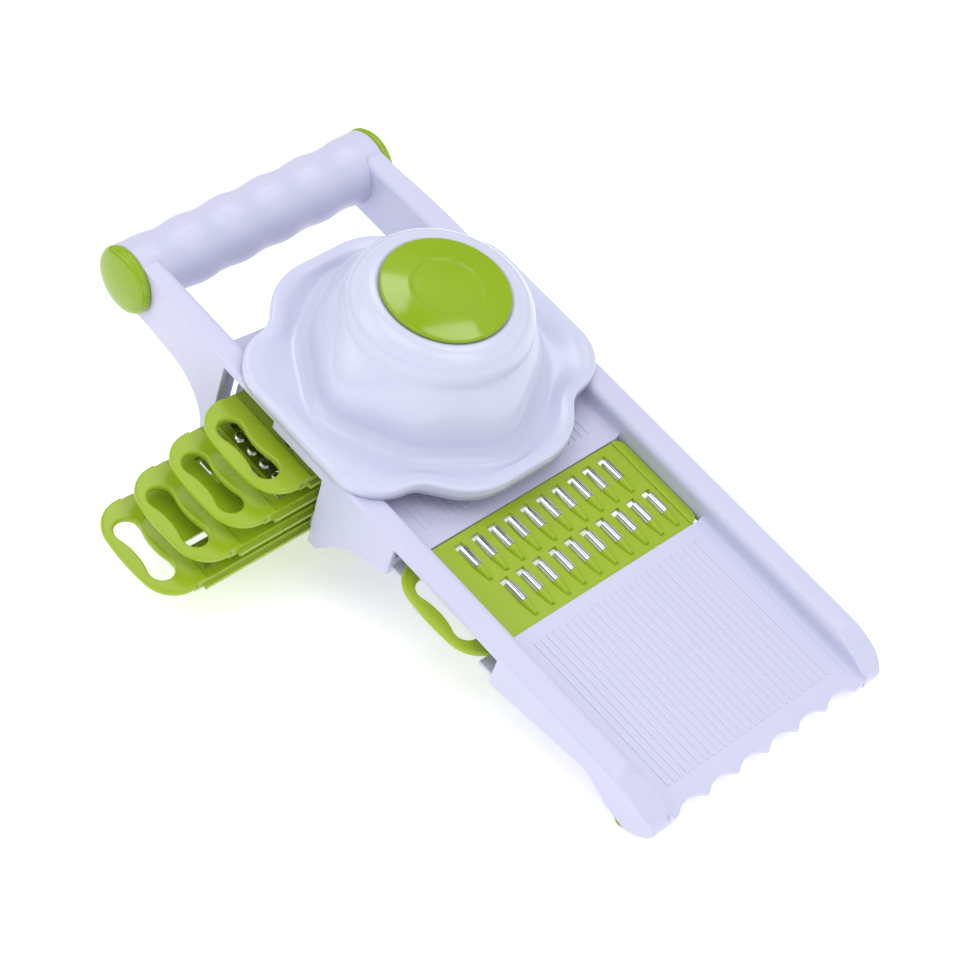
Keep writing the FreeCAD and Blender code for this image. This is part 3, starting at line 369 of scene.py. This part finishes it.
@dataclass
class Studio:
    """Floor, lights and camera.

    The walls are pairs of a height, from 0 at the room's bottom to 1 at its top, and a tone there. The
    camera's eye and directions are given in the deck's frame.
    """

    floor_size: float = 6.0
    floor_tint: Colour = (0.93, 0.93, 0.93)
    floor_drift: Colour = (0.91, 0.91, 0.915)
    floor_drift_scale: float = 3.0
    floor_roughness: float = 0.9
    floor_specular: float = 0.1
    floor_glow: float = 0.38
    floor_grain: float = 900.0
    floor_grain_depth: float = 0.05 * MM
    floor_grain_strength: float = 0.1
    room: float = 0.72
    walls: tuple[Pair, ...] = (
        (0.0, 0.05), (1.0, 0.01), (0.12, 0.04), (0.2, 0.8), (0.42, 0.85), (0.5, 0.1), (0.72, 0.14),
        (0.82, 0.5), (0.88, 0.5), (0.91, 0.01))
    boxes: tuple[SoftBox, ...] = (
        SoftBox("left_box", place=(-0.7, -1.1, 1.0), aim=(0.0, 0.0, 0.05), size=(1.0, 0.9), power=4.0),
        SoftBox("right_box", place=(1.0, 0.1, 1.2), aim=(0.0, 0.0, 0.05), size=(0.7, 0.9), power=4.0),
        SoftBox("top_box", place=(0.1, -0.5, 1.8), aim=(0.0, 0.0, 0.0), size=(1.0, 1.0), power=6.2),
        SoftBox("cap_box_left", place=(-0.44, 0.52, 1.4), aim=(-0.03, 0.03, 0.1), size=(0.34, 0.3),
                power=1.3),
        SoftBox("cap_box_right", place=(0.14, 0.62, 1.4), aim=(-0.03, 0.03, 0.1), size=(0.36, 0.34),
                power=1.4))
    focal_pixels: float = 2830.6
    sensor: float = 36.0
    eye: Point = (327.8 * MM, -557.6 * MM, 775.2 * MM)
    right: Point = (0.65223, 0.72381, 0.22515)
    down: Point = (0.67856, -0.42513, -0.59902)
    forward: Point = (-0.33786, 0.54347, -0.76843)

    def build(self) -> None:
        """Make the floor, the room's light, the soft boxes and the camera."""
        self.build_floor()
        self.build_room()
        for box in self.boxes:
            box.hang()
        self.build_camera()

    def build_floor(self) -> None:
        """Lay a plain pale floor under the slicer, lit through from below as a light table is."""
        mesh = bpy.data.meshes.new("pale_floor")
        half = self.floor_size / 2
        corners = [(-half, -half, 0), (half, -half, 0), (half, half, 0), (-half, half, 0)]
        mesh.from_pydata(corners, [], [range(len(corners))])
        floor = bpy.data.objects.new("pale_floor", mesh)
        bpy.context.scene.collection.objects.link(floor)
        sheet = NodeSheet("pale_paper")
        drift = sheet.spread(sheet.noise(self.floor_drift_scale), 0.0, 1.0)
        sheet.join(sheet.blend(drift, self.floor_tint, self.floor_drift), sheet.shader.inputs["Base Color"])
        sheet.set(Roughness=self.floor_roughness, Specular_IOR_Level=self.floor_specular)
        sheet.set(Emission_Color=PURE_WHITE, Emission_Strength=self.floor_glow)
        sheet.bump(sheet.noise(self.floor_grain), self.floor_grain_depth, self.floor_grain_strength)
        mesh.materials.append(sheet.material)

    def build_room(self) -> None:
        """Set the room's even light, with strips of bright and dark wall for mirrors to show."""
        world = bpy.data.worlds.new("studio_room")
        world.use_nodes = True
        bpy.context.scene.world = world
        nodes, links = world.node_tree.nodes, world.node_tree.links
        even = nodes["Background"]
        even.inputs["Color"].default_value = PURE_WHITE
        even.inputs["Strength"].default_value = self.room
        split = nodes.new("ShaderNodeSeparateXYZ")
        links.new(nodes.new("ShaderNodeTexCoord").outputs["Generated"], split.inputs["Vector"])
        strips = nodes.new("ShaderNodeValToRGB")
        links.new(split.outputs["Z"], strips.inputs["Fac"])
        stops = strips.color_ramp.elements
        ready = len(stops)
        for number, (height, tone) in enumerate(self.walls):
            stop = stops[number] if number < ready else stops.new(height)
            stop.position = height
            stop.color = (tone, tone, tone, 1.0)
        walls = nodes.new("ShaderNodeBackground")
        links.new(strips.outputs["Color"], walls.inputs["Color"])
        mix = nodes.new("ShaderNodeMixShader")
        links.new(nodes.new("ShaderNodeLightPath").outputs["Is Glossy Ray"], mix.inputs["Fac"])
        links.new(even.outputs["Background"], mix.inputs[1])
        links.new(walls.outputs["Background"], mix.inputs[2])
        links.new(mix.outputs["Shader"], nodes["World Output"].inputs["Surface"])

    def build_camera(self) -> None:
        """Place the camera at the photograph's angle."""
        data = bpy.data.cameras.new("photo_camera")
        data.sensor_width = self.sensor
        data.lens = self.focal_pixels / FRAME_PIXELS * self.sensor
        camera = bpy.data.objects.new("photo_camera", data)
        bpy.context.scene.collection.objects.link(camera)
        up, back = [-part for part in self.down], [-part for part in self.forward]
        directions = Matrix((self.right, up, back)).transposed().to_4x4()
        camera.matrix_world = DECK_PLACE @ Matrix.Translation(self.eye) @ directions
        bpy.context.scene.camera = camera


def polygon_mesh(name: str, points: Sequence[Point], faces: Sequence[Sequence[int]]) -> bpy.types.Object:
    """Make a smooth-shaded mesh object from corners in the deck's frame.

    Args:
        name: Name of the object.
        points: Corners in the deck's frame, in metres.
        faces: Corner numbers of each face.

    Returns:
        The new object, placed in the shared frame.
    """
    mesh = bpy.data.meshes.new(name)
    mesh.from_pydata(points, [], faces)
    mesh.transform(DECK_PLACE)
    mesh.polygons.foreach_set("use_smooth", [True] * len(mesh.polygons))
    piece = bpy.data.objects.new(name, mesh)
    bpy.context.scene.collection.objects.link(piece)
    return piece


def ring_mesh(name: str, rings: Sequence[Sequence[Point]], closed: tuple[bool, bool]) -> bpy.types.Object:
    """Skin a stack of rings that have equal numbers of points.

    Args:
        name: Name of the object.
        rings: Rings of points, from first to last.
        closed: Whether the first and the last ring are closed by a face.

    Returns:
        The new object.
    """
    count = len(rings[0])
    points = [point for ring in rings for point in ring]
    faces: list[list[int]] = []
    for level in range(len(rings) - 1):
        for step in range(count):
            after = (step + 1) % count
            low, high = level * count, (level + 1) * count
            faces.append([low + step, low + after, high + after, high + step])
    if closed[0]:
        faces.append(list(range(count))[::-1])
    if closed[1]:
        faces.append([len(points) - count + step for step in range(count)])
    return polygon_mesh(name, points, faces)


def lathe(name: str, outline: Sequence[Pair], axis: Axis, centre: Point, way: float) -> bpy.types.Object:
    """Turn an outline about an axis of the deck's frame.

    Args:
        name: Name of the object.
        outline: Pairs of radius and reach along the axis, from the foot to the tip.
        axis: The axis.
        centre: Foot of the axis.
        way: 1 or -1, the way the reach runs along the axis.

    Returns:
        The new object.
    """
    rings = []
    for radius, reach in outline:
        ring = []
        for step in range(LATHE_STEPS):
            angle = math.tau * step / LATHE_STEPS
            first, second = radius * math.cos(angle), radius * math.sin(angle)
            if axis is Axis.ACROSS:
                offset = (first, way * reach, -way * second)
            else:
                offset = (first, way * second, way * reach)
            ring.append(tuple(c + o for c, o in zip(centre, offset)))
        rings.append(ring)
    return ring_mesh(name, rings, (True, True))


def arc(centre: Pair, radius: float, start: float, end: float, steps: int) -> list[Pair]:
    """Return points along an arc in an outline.

    Args:
        centre: Middle of the arc.
        radius: Its radius.
        start: First angle in degrees.
        end: Last angle in degrees.
        steps: Number of stretches.

    Returns:
        The points, with both ends.
    """
    angles = [math.radians(start + (end - start) * step / steps) for step in range(steps + 1)]
    return [(centre[0] + radius * math.cos(a), centre[1] + radius * math.sin(a)) for a in angles]


def ease(share: float) -> float:
    """Return a share from 0 to 1 with soft ends."""
    share = min(1.0, max(0.0, share))
    return share * share * (3 - 2 * share)


def settle(piece: bpy.types.Object, finish: bpy.types.Material, body: Body,
           nodes: Sequence[str]) -> None:
    """Finish a piece and tie it to the construction.

    Args:
        piece: The piece.
        finish: Its material.
        body: Body that it rides on.
        nodes: Construction nodes that it stands for.
    """
    piece.data.materials.clear()
    piece.data.materials.append(finish)
    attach(piece, body.value)
    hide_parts(*nodes)
    log.info("%s rides on %s for %s", piece.name, body.value, ", ".join(nodes))


@dataclass
class Moulding:
    """A rigid construction piece with its sharp edges softened as a mould leaves them.

    The reaches are in roundings: how far round a stray or torn place edges stay sharp.
    """

    node: str
    body: Body
    slot: Slot
    rounding: float
    segments: int = 3
    crease: float = math.radians(32.0)
    flat: float = math.radians(0.6)
    weld: float = 0.002 * MM
    share: float = 0.45
    turn: float = math.radians(115.0)
    plain_turn: float = math.radians(149.5)
    least_slope: float = 0.05
    least_bend: float = 0.001
    rounds: int = 4
    stray_reach: float = 8.0
    torn_reach: float = 1.6
    least_probes: int = 2
    most_probes: int = 8
    probe_step: float = 2.0 * MM

    def build(self, finish: bpy.types.Material) -> None:
        """Make the softened piece and put it in the construction's place.

        Args:
            finish: Its material.
        """
        shell = self.clean_shell()
        tree = BVHTree.FromBMesh(shell)
        layer = self.weigh_edges(shell)
        name = self.node + "_soft"
        mesh = bpy.data.meshes.new(name)
        piece = bpy.data.objects.new(name, mesh)
        bpy.context.scene.collection.objects.link(piece)
        soften = piece.modifiers.new("soft_edges", "BEVEL")
        soften.limit_method = "WEIGHT"
        soften.width = self.rounding
        soften.segments = self.segments
        soften.use_clamp_overlap = False
        for _ in range(self.rounds):
            shell.to_mesh(mesh)
            if not self.tame_strays(piece, shell, tree, layer):
                break
        shell.to_mesh(mesh)
        shell.free()
        self.apply(piece)
        settle(piece, finish, self.body, [self.node])

    def clean_shell(self) -> bmesh.types.BMesh:
        """Weld the node's mesh and make its flat faces whole.

        Returns:
            The cleaned mesh.
        """
        shell = bmesh.new()
        shell.from_mesh(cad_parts[self.node].data)
        bmesh.ops.remove_doubles(shell, verts=shell.verts, dist=self.weld)
        bmesh.ops.dissolve_limit(shell, angle_limit=self.flat, verts=shell.verts, edges=shell.edges)
        shell.edges.layers.float.new(EDGE_SHARES)
        return shell

    def weigh_edges(self, shell: bmesh.types.BMesh) -> bmesh.types.BMLayerItem:
        """Mark each sharp edge with the share of the rounding that it has room for.

        Args:
            shell: The cleaned mesh.

        Returns:
            The layer that holds the shares.
        """
        layer = shell.edges.layers.float[EDGE_SHARES]
        sharp = {edge for edge in shell.edges if edge.is_manifold and edge.calc_face_angle() > self.crease}
        for edge in sharp:
            room = min(self.room(edge, corner, sharp) for corner in edge.verts)
            edge[layer] = min(1.0, room / self.rounding)
        return layer

    def room(self, edge: bmesh.types.BMEdge, corner: bmesh.types.BMVert,
             sharp: set[bmesh.types.BMEdge]) -> float:
        """Return the widest rounding that an edge can take at one of its ends.

        Args:
            edge: The sharp edge.
            corner: One of its ends.
            sharp: All sharp edges.

        Returns:
            The width in metres.
        """
        room = self.rounding
        along = edge.other_vert(corner).co - corner.co
        faces = set(edge.link_faces)
        for other in corner.link_edges:
            if other is edge or not faces & set(other.link_faces):
                continue
            away = other.other_vert(corner).co - corner.co
            angle = along.angle(away, math.pi / 2)
            length = min(along.length, away.length)
            if other in sharp and angle > self.turn:
                limit = length / max(math.tan((math.pi - angle) / 2), self.least_bend)
            elif other in sharp:
                limit = length * math.tan(angle / 2)
            elif angle < self.plain_turn:
                limit = away.length * max(math.sin(angle), self.least_slope)
            else:
                continue
            room = min(room, self.share * limit)
        return room

    def off_shape(self, tree: BVHTree, place: Vector) -> bool:
        """Return whether a place lies further from the unrounded shape than a rounding."""
        *_, distance = tree.find_nearest(place)
        return distance > self.rounding

    def tame_strays(self, piece: bpy.types.Object, shell: bmesh.types.BMesh, tree: BVHTree,
                    layer: bmesh.types.BMLayerItem) -> bool:
        """Leave edges sharp where their rounding strays from the shape.

        Args:
            piece: Object with the rounding in place.
            shell: The mesh that is being marked.
            tree: Search tree of the unrounded shape.
            layer: Layer of the edges' shares.

        Returns:
            Whether anything strayed.
        """
        graph = bpy.context.evaluated_depsgraph_get()
        trial = piece.evaluated_get(graph).to_mesh()
        strays = [corner.co.copy() for corner in trial.vertices if self.off_shape(tree, corner.co)]
        torn = self.torn_corners(trial, tree)
        for places, reach in ((strays, self.stray_reach), (torn, self.torn_reach)):
            if places:
                self.keep_sharp(shell, layer, places, reach * self.rounding)
        return bool(strays or torn)

    def torn_corners(self, trial: bpy.types.Mesh, tree: BVHTree) -> list[Vector]:
        """Return the corners of faces that cover a place where the shape has none.

        Args:
            trial: The rounded mesh.
            tree: Search tree of the unrounded shape.

        Returns:
            The corners' places.
        """
        trial.calc_loop_triangles()
        torn = set()
        for triangle in trial.loop_triangles:
            start, second, third = (trial.vertices[number].co for number in triangle.vertices)
            probes = round(math.sqrt(triangle.area) / self.probe_step)
            steps = max(self.least_probes, min(self.most_probes, probes))
            places = (start + (second - start) * (row / steps) + (third - start) * (column / steps)
                      for row in range(steps + 1) for column in range(steps + 1 - row))
            if any(self.off_shape(tree, place) for place in places):
                torn.add(triangle.polygon_index)
        return [trial.vertices[number].co.copy() for face in torn for number in trial.polygons[face].vertices]

    @staticmethod
    def keep_sharp(shell: bmesh.types.BMesh, layer: bmesh.types.BMLayerItem, places: Sequence[Vector],
                   reach: float) -> None:
        """Take the rounding off edges that end near the given places.

        Args:
            shell: The mesh that is being marked.
            layer: Layer of the edges' shares.
            places: Places to keep clear of.
            reach: How near counts.
        """
        marks = KDTree(len(places))
        for number, place in enumerate(places):
            marks.insert(place, number)
        marks.balance()
        for edge in shell.edges:
            if edge[layer] and min(marks.find(corner.co)[-1] for corner in edge.verts) < reach:
                edge[layer] = 0.0

    def apply(self, piece: bpy.types.Object) -> None:
        """Turn the rounded result into the piece's own mesh, with even shading on its flats.

        Args:
            piece: The object with its modifier.
        """
        graph = bpy.context.evaluated_depsgraph_get()
        mesh = bpy.data.meshes.new_from_object(piece.evaluated_get(graph))
        mesh.name = piece.data.name
        mesh.polygons.foreach_set("use_smooth", [True] * len(mesh.polygons))
        mesh.set_sharp_from_angle(angle=self.crease)
        piece.modifiers.clear()
        piece.data = mesh
        even = piece.modifiers.new("even_shading", "WEIGHTED_NORMAL")
        even.keep_sharp = True


@dataclass
class HandleGrip:
    """Wavy white grip, drawn through the hubs to the caps so that no joint shows at the arms."""

    mean_radius: float = 13.05 * MM
    wave: float = 0.4 * MM
    waves: int = 5
    half_length: float = 49.3 * MM
    hub_reach: float = 57.9 * MM
    end_round: float = 0.5 * MM
    stations: int = 120

    def radius(self, v: float) -> float:
        """Return the grip's radius at a place across the deck.

        Args:
            v: The place, from the deck's centre line.

        Returns:
            The radius there.
        """
        if abs(v) > self.half_length:
            return self.mean_radius + self.wave
        return self.mean_radius + self.wave * math.cos(math.pi * self.waves * (1 + v / self.half_length))

    def build(self, finish: bpy.types.Material) -> None:
        """Make the grip and put it in the construction's place.

        Args:
            finish: Its material.
        """
        outline = []
        for step in range(self.stations + 1):
            v = self.hub_reach * (2 * step / self.stations - 1)
            outline.append((self.radius(v), v))
        for end in (0, -1):
            radius, v = outline[end]
            outline[end] = (radius - self.end_round, v)
        piece = lathe("wavy_grip", outline, Axis.ACROSS, (DECK.grip_u, 0.0, DECK.grip_n), 1.0)
        settle(piece, finish, Body.BASE, ["handle_grip"])


@dataclass
class EndCap:
    """Domed green cap on one end of the grip."""

    side: Side
    radius: float = 13.6 * MM
    face: float = 58.05 * MM
    bevel: float = 0.3 * MM
    rim: float = 1.5 * MM
    edge: float = 1.3 * MM
    edge_degrees: float = 62.0
    edge_steps: int = 6
    crown: float = 3.0 * MM
    crown_steps: int = 16
    tip: float = 0.1 * MM

    def build(self, finish: bpy.types.Material) -> None:
        """Make the cap and put it in the construction's place.

        Args:
            finish: Its material.
        """
        outline = [(self.radius - self.bevel, 0.0), (self.radius, self.bevel)]
        edge_middle = (self.radius - self.edge, self.rim)
        outline += arc(edge_middle, self.edge, 0.0, self.edge_degrees, self.edge_steps)
        start_radius, start_reach = outline[-1]
        for step in range(1, self.crown_steps):
            turn = math.pi / 2 * step / self.crown_steps
            outline.append((start_radius * math.cos(turn), start_reach + self.crown * math.sin(turn)))
        outline.append((self.tip, start_reach + self.crown))
        name = "cap_" + self.side.name.lower()
        centre = (DECK.grip_u, self.side.value * self.face, DECK.grip_n)
        piece = lathe("grip_" + name, outline, Axis.ACROSS, centre, self.side.value)
        settle(piece, finish, Body.BASE, ["handle_" + name])


@dataclass
class GuardShell:
    """White hand guard: a dished brim of four lobes round a dome with soft ribs."""

    middle: float = GUARD_MIDDLE
    side_half: float = 41.0 * MM
    side_reach: float = 61.5 * MM
    side_round: float = 20.0 * MM
    end_half: float = 39.0 * MM
    end_reach: float = 58.5 * MM
    end_round: float = 29.0 * MM
    notch_round: float = 9.0 * MM
    rim_top: float = 13.9 * MM
    side_low: float = 9.0 * MM
    end_low: float = 7.9 * MM
    rim_round: float = 1.3 * MM
    rim_steps: int = 6
    band: float = 4.2 * MM
    band_fall: float = 0.35 * MM
    band_shares: tuple[float, ...] = (0.35, 0.7)
    dish: float = 2.8 * MM
    dish_least: float = 1.0 * MM
    dish_steps: int = 8
    foot_radius: float = 42.6 * MM
    foot_lobe: float = 1.7 * MM
    foot_flute: float = 0.9 * MM
    foot_round: float = 6.0 * MM
    foot_turn: float = math.radians(78.0)
    foot_steps: int = 6
    lobes: int = 4
    flutes: int = 8
    shoulder_radius: float = 35.5 * MM
    shoulder: float = 39.1 * MM
    ledge: float = 0.28 * MM
    bulge: float = 2.2 * MM
    wall_steps: int = 16
    top_radius: float = 25.4 * MM
    top: float = 51.4 * MM
    crown_steps: int = 14
    seat_radius: float = 24.5 * MM
    seat_bevel: float = 0.3 * MM
    seat_depth: float = 0.6 * MM
    seat_shares: tuple[float, ...] = (1.0, 0.5, 0.125)
    wall: float = 1.7 * MM
    steps: int = 240

    @staticmethod
    def block_reach(angle: float, half_u: float, half_v: float, rounding: float) -> float:
        """Return how far a rounded block reaches along a ray from its middle.

        Args:
            angle: Direction of the ray.
            half_u: Half the block's length.
            half_v: Half its width.
            rounding: Radius of its corners.

        Returns:
            The distance to the block's edge.
        """
        along, across = abs(math.cos(angle)), abs(math.sin(angle))
        reach = min(half_u / max(along, TINY), half_v / max(across, TINY))
        corner_u, corner_v = half_u - rounding, half_v - rounding
        if reach * along <= corner_u or reach * across <= corner_v:
            return reach
        middle = corner_u * along + corner_v * across
        return middle + math.sqrt(middle ** 2 - corner_u ** 2 - corner_v ** 2 + rounding ** 2)

    def outline(self, angle: float) -> Pair:
        """Return the brim's edge in one direction: two crossed blocks, blended in the notches between.

        Args:
            angle: Direction from the guard's middle.

        Returns:
            The brim's reach and the height of its lip's lower edge.
        """
        side = self.block_reach(angle, self.side_half, self.side_reach, self.side_round)
        end = self.block_reach(angle, self.end_reach, self.end_half, self.end_round)
        # A quarter of the squared overlap is what a smooth maximum adds, so the notch has no crease.
        overlap = max(self.notch_round - abs(side - end), 0.0) / self.notch_round
        reach = max(side, end) + overlap ** 2 * self.notch_round / 4
        share = ease(0.5 + (side - end) / self.notch_round)
        return reach, self.end_low + (self.side_low - self.end_low) * share

    def brim(self, reach: float, low: float, dish_end: float) -> list[Pair]:
        """Return the section of the brim, from the lip's lower edge over the band to the dish's end.

        Args:
            reach: The brim's reach.
            low: Height of the lip's lower edge.
            dish_end: Radius at which the dish is deepest.

        Returns:
            Pairs of radius and height.
        """
        rim_radius, band_end = reach - self.rim_round, reach - self.band
        points = [(reach, low), (reach, (low + self.rim_top) / 2)]
        points += arc((rim_radius, self.rim_top - self.rim_round), self.rim_round, 0.0, 90.0, self.rim_steps)
        points += [(rim_radius - (self.band - self.rim_round) * share,
                    self.rim_top - self.band_fall * share ** 2) for share in self.band_shares]
        for step in range(self.dish_steps + 1):
            share = step / self.dish_steps
            points.append((band_end + (dish_end - band_end) * share,
                           self.rim_top - self.band_fall - self.dish * ease(share)))
        return points

    def foot(self, dish_end: float, foot_radius: float) -> list[Pair]:
        """Return the section of the bend from the dish up to the dome's wall.

        Args:
            dish_end: Radius at which the dish is deepest.
            foot_radius: Radius of the dome's foot.

        Returns:
            Pairs of radius and height.
        """
        valley = self.rim_top - self.band_fall - self.dish
        points = []
        for step in range(1, self.foot_steps + 1):
            turn = self.foot_turn * step / self.foot_steps
            points.append((dish_end + (foot_radius - dish_end) * math.sin(turn) / math.sin(self.foot_turn),
                           valley + self.foot_round * (1 - math.cos(turn))))
        return points

    def dome(self, start: Pair, rib: float) -> list[Pair]:
        """Return the section of the dome's wall, its crown and the seat of the cap.

        Args:
            start: Radius and height at which the wall starts.
            rib: How far a rib stands out at the foot.

        Returns:
            Pairs of radius and height.
        """
        wall_radius, wall_low = start
        points = []
        for step in range(1, self.wall_steps + 1):
            share = step / self.wall_steps
            plain = wall_radius + (self.shoulder_radius + rib * (1 - share) - wall_radius) * share
            swell = self.bulge * math.sin(math.pi * share)
            points.append((plain + swell, wall_low + (self.shoulder - wall_low) * share))
        crown_radius, crown_low = self.shoulder_radius - self.ledge, self.shoulder + self.ledge
        points.append((crown_radius, crown_low))
        for step in range(1, self.crown_steps + 1):
            turn = math.pi / 2 * step / self.crown_steps
            points.append((self.top_radius + (crown_radius - self.top_radius) * math.cos(turn),
                           crown_low + (self.top - crown_low) * math.sin(turn)))
        points.append((self.seat_radius + self.seat_bevel, self.top))
        return points + [(self.seat_radius * share, self.top - self.seat_depth) for share in self.seat_shares]

    def section(self, angle: float) -> list[Pair]:
        """Return the guard's section in one direction, from the lip's lower edge to the cap's seat.

        Args:
            angle: Direction from the guard's middle.

        Returns:
            Pairs of radius and height.
        """
        reach, low = self.outline(angle)
        rib = self.foot_lobe * math.cos(self.lobes * angle) + self.foot_flute * math.cos(self.flutes * angle)
        foot_radius = self.foot_radius + rib
        dish_end = min(foot_radius + self.foot_round, reach - self.band - self.dish_least)
        points = self.brim(reach, low, dish_end) + self.foot(dish_end, foot_radius)
        return points + self.dome(points[-1], rib)

    def build(self, finish: bpy.types.Material) -> None:
        """Make the guard's shell and put it in the construction's place.

        Args:
            finish: Its material.
        """
        angles = [math.tau * step / self.steps for step in range(self.steps)]
        sections = [self.section(angle) for angle in angles]
        rings = []
        for level in range(len(sections[0])):
            ring = []
            for angle, section in zip(angles, sections):
                radius, height = section[level]
                ring.append((self.middle + radius * math.cos(angle), radius * math.sin(angle), height))
            rings.append(ring)
        piece = ring_mesh("guard_shell", rings, (False, True))
        skin = piece.modifiers.new("wall", "SOLIDIFY")
        skin.thickness = self.wall
        skin.offset = -1.0
        settle(piece, finish, Body.GUARD, ["holder_shell"])


@dataclass
class GuardCap:
    """Green cap set in the dome's top, slightly domed, with a shallow bare dish."""

    middle: float = GUARD_MIDDLE
    radius: float = 23.9 * MM
    base: float = 50.85 * MM
    bevel: float = 0.2 * MM
    rim: float = 0.9 * MM
    edge: float = 0.8 * MM
    edge_turn: float = math.radians(65.0)
    edge_share: float = 0.8
    edge_steps: int = 4
    shoulder: float = 0.4 * MM
    rise: float = 1.7 * MM
    rise_steps: int = 11
    dish_radius: float = 12.4 * MM
    dish_depth: float = 0.45 * MM
    dish_steps: int = 10
    slope: float = 0.8 * MM
    slope_steps: int = 6

    def crown(self, radius: float) -> float:
        """Return the height of the cap's crown at a radius."""
        return self.rim + self.edge * self.edge_share + self.rise * (1 - (radius / self.radius) ** 2)

    def build(self, finish: bpy.types.Material) -> None:
        """Make the cap and put it in the construction's place.

        Args:
            finish: Its material.
        """
        outline = [(self.radius - self.bevel, 0.0), (self.radius, self.bevel), (self.radius, self.rim)]
        for step in range(1, self.edge_steps + 1):
            turn = self.edge_turn * (step / self.edge_steps)
            outline.append((self.radius - self.edge * (1 - math.cos(turn)),
                            self.rim + self.edge * math.sin(turn)))
        inner = outline[-1][0] - self.shoulder
        lip = self.dish_radius + self.slope
        for step in range(self.rise_steps + 1):
            radius = inner + (lip - inner) * step / self.rise_steps
            outline.append((radius, self.crown(radius)))
        for step in range(1, self.slope_steps + 1):
            radius = lip - self.slope * step / self.slope_steps
            outline.append((radius, self.crown(radius) - self.dish_depth * ease(step / self.slope_steps)))
        for step in range(1, self.dish_steps):
            radius = self.dish_radius * (1 - step / self.dish_steps)
            outline.append((radius, self.crown(radius) - self.dish_depth))
        piece = lathe("guard_cap", outline, Axis.SQUARE, (self.middle, 0.0, self.base), 1.0)
        settle(piece, finish, Body.GUARD, ["holder_cap"])


@dataclass
class Base:
    """The white body with its grip, its feet and the guides of its rack."""

    body_round: float = 0.6 * MM
    guide_round: float = 0.3 * MM
    foot_round: float = 0.5 * MM

    def build(self, white: bpy.types.Material, green: bpy.types.Material, rubber: bpy.types.Material) -> None:
        """Make the body's pieces.

        Args:
            white: Finish of the body, the grip and the guides.
            green: Finish of the grip's caps.
            rubber: Finish of the feet.
        """
        Moulding("body_frame", Body.BASE, Slot.WHITE, self.body_round).build(white)
        HandleGrip().build(white)
        for side in Side:
            EndCap(side).build(green)
        for end in End:
            Moulding(f"rack_{end.value}_guide", Body.BASE, Slot.WHITE, self.guide_round).build(white)
        for end in End:
            for side in Side:
                foot = f"{end.value}_foot_{side.name.lower()}"
                Moulding(foot, Body.BASE, Slot.RUBBER, self.foot_round).build(rubber)


@dataclass
class Insert:
    """One green insert with its steel cutter."""

    body: Body
    cutter: Cutter
    frame_round: float = 0.3 * MM
    cutter_round: float = 0.08 * MM
    cutter_segments: int = 2

    def build(self, green: bpy.types.Material, steel: bpy.types.Material) -> None:
        """Make the insert's frame and its cutter.

        Args:
            green: Finish of the frame.
            steel: Finish of the cutter.
        """
        name = self.body.value
        Moulding(f"{name}_frame", self.body, Slot.GREEN, self.frame_round).build(green)
        Moulding(f"{name}_{self.cutter.value}", self.body, Slot.STEEL, self.cutter_round,
                 segments=self.cutter_segments).build(steel)


@dataclass
class HandGuard:
    """The hand guard that slides on the rails, with its cap and its prong disc."""

    disc_round: float = 0.3 * MM

    def build(self, white: bpy.types.Material, green: bpy.types.Material) -> None:
        """Make the guard's pieces.

        Args:
            white: Finish of the shell and the disc.
            green: Finish of the cap.
        """
        GuardShell().build(white)
        GuardCap().build(green)
        Moulding("holder_prong_disc", Body.GUARD, Slot.WHITE, self.disc_round).build(white)


def dress_nodes(names: Iterable[str], material: bpy.types.Material) -> None:
    """Give construction nodes that stay in view a finish.

    Args:
        names: Nodes to dress.
        material: Their finish.
    """
    for name in names:
        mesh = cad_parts[name].data
        mesh.materials.clear()
        mesh.materials.append(material)
        log.info("dressed %s with %s", name, material.name)


def main() -> None:
    """Build the scene piece by piece."""
    logging.basicConfig(level=logging.INFO, format="%(name)s: %(message)s")
    bpy.context.scene.view_settings.view_transform = "Standard"
    Studio().build()
    white, green = WHITE_MOULDING.material(), GREEN_INSERT.material()
    cap, steel = GREEN_CAP.material(), BRIGHT_STEEL.material()
    Base().build(white, cap, FOOT_RUBBER.material())
    Insert(Body.COARSE, Cutter.SCOOPS).build(green, steel)
    Insert(Body.THICK, Cutter.BLADE).build(green, steel)
    Insert(Body.GRATER, Cutter.PLATE).build(green, steel)
    Insert(Body.FINE, Cutter.SCOOPS).build(green, steel)
    Insert(Body.THIN, Cutter.BLADE).build(green, steel)
    HandGuard().build(GUARD_MOULDING.material(), cap)
    dress_nodes(["holder_prongs"], steel)
    dress_nodes(["handle_screws", "rack_screws", "holder_screw", "thick_slicer_rivets", "thin_slicer_rivets"],
                SCREW_STEEL.material())


if __name__ == "__main__":
    main()
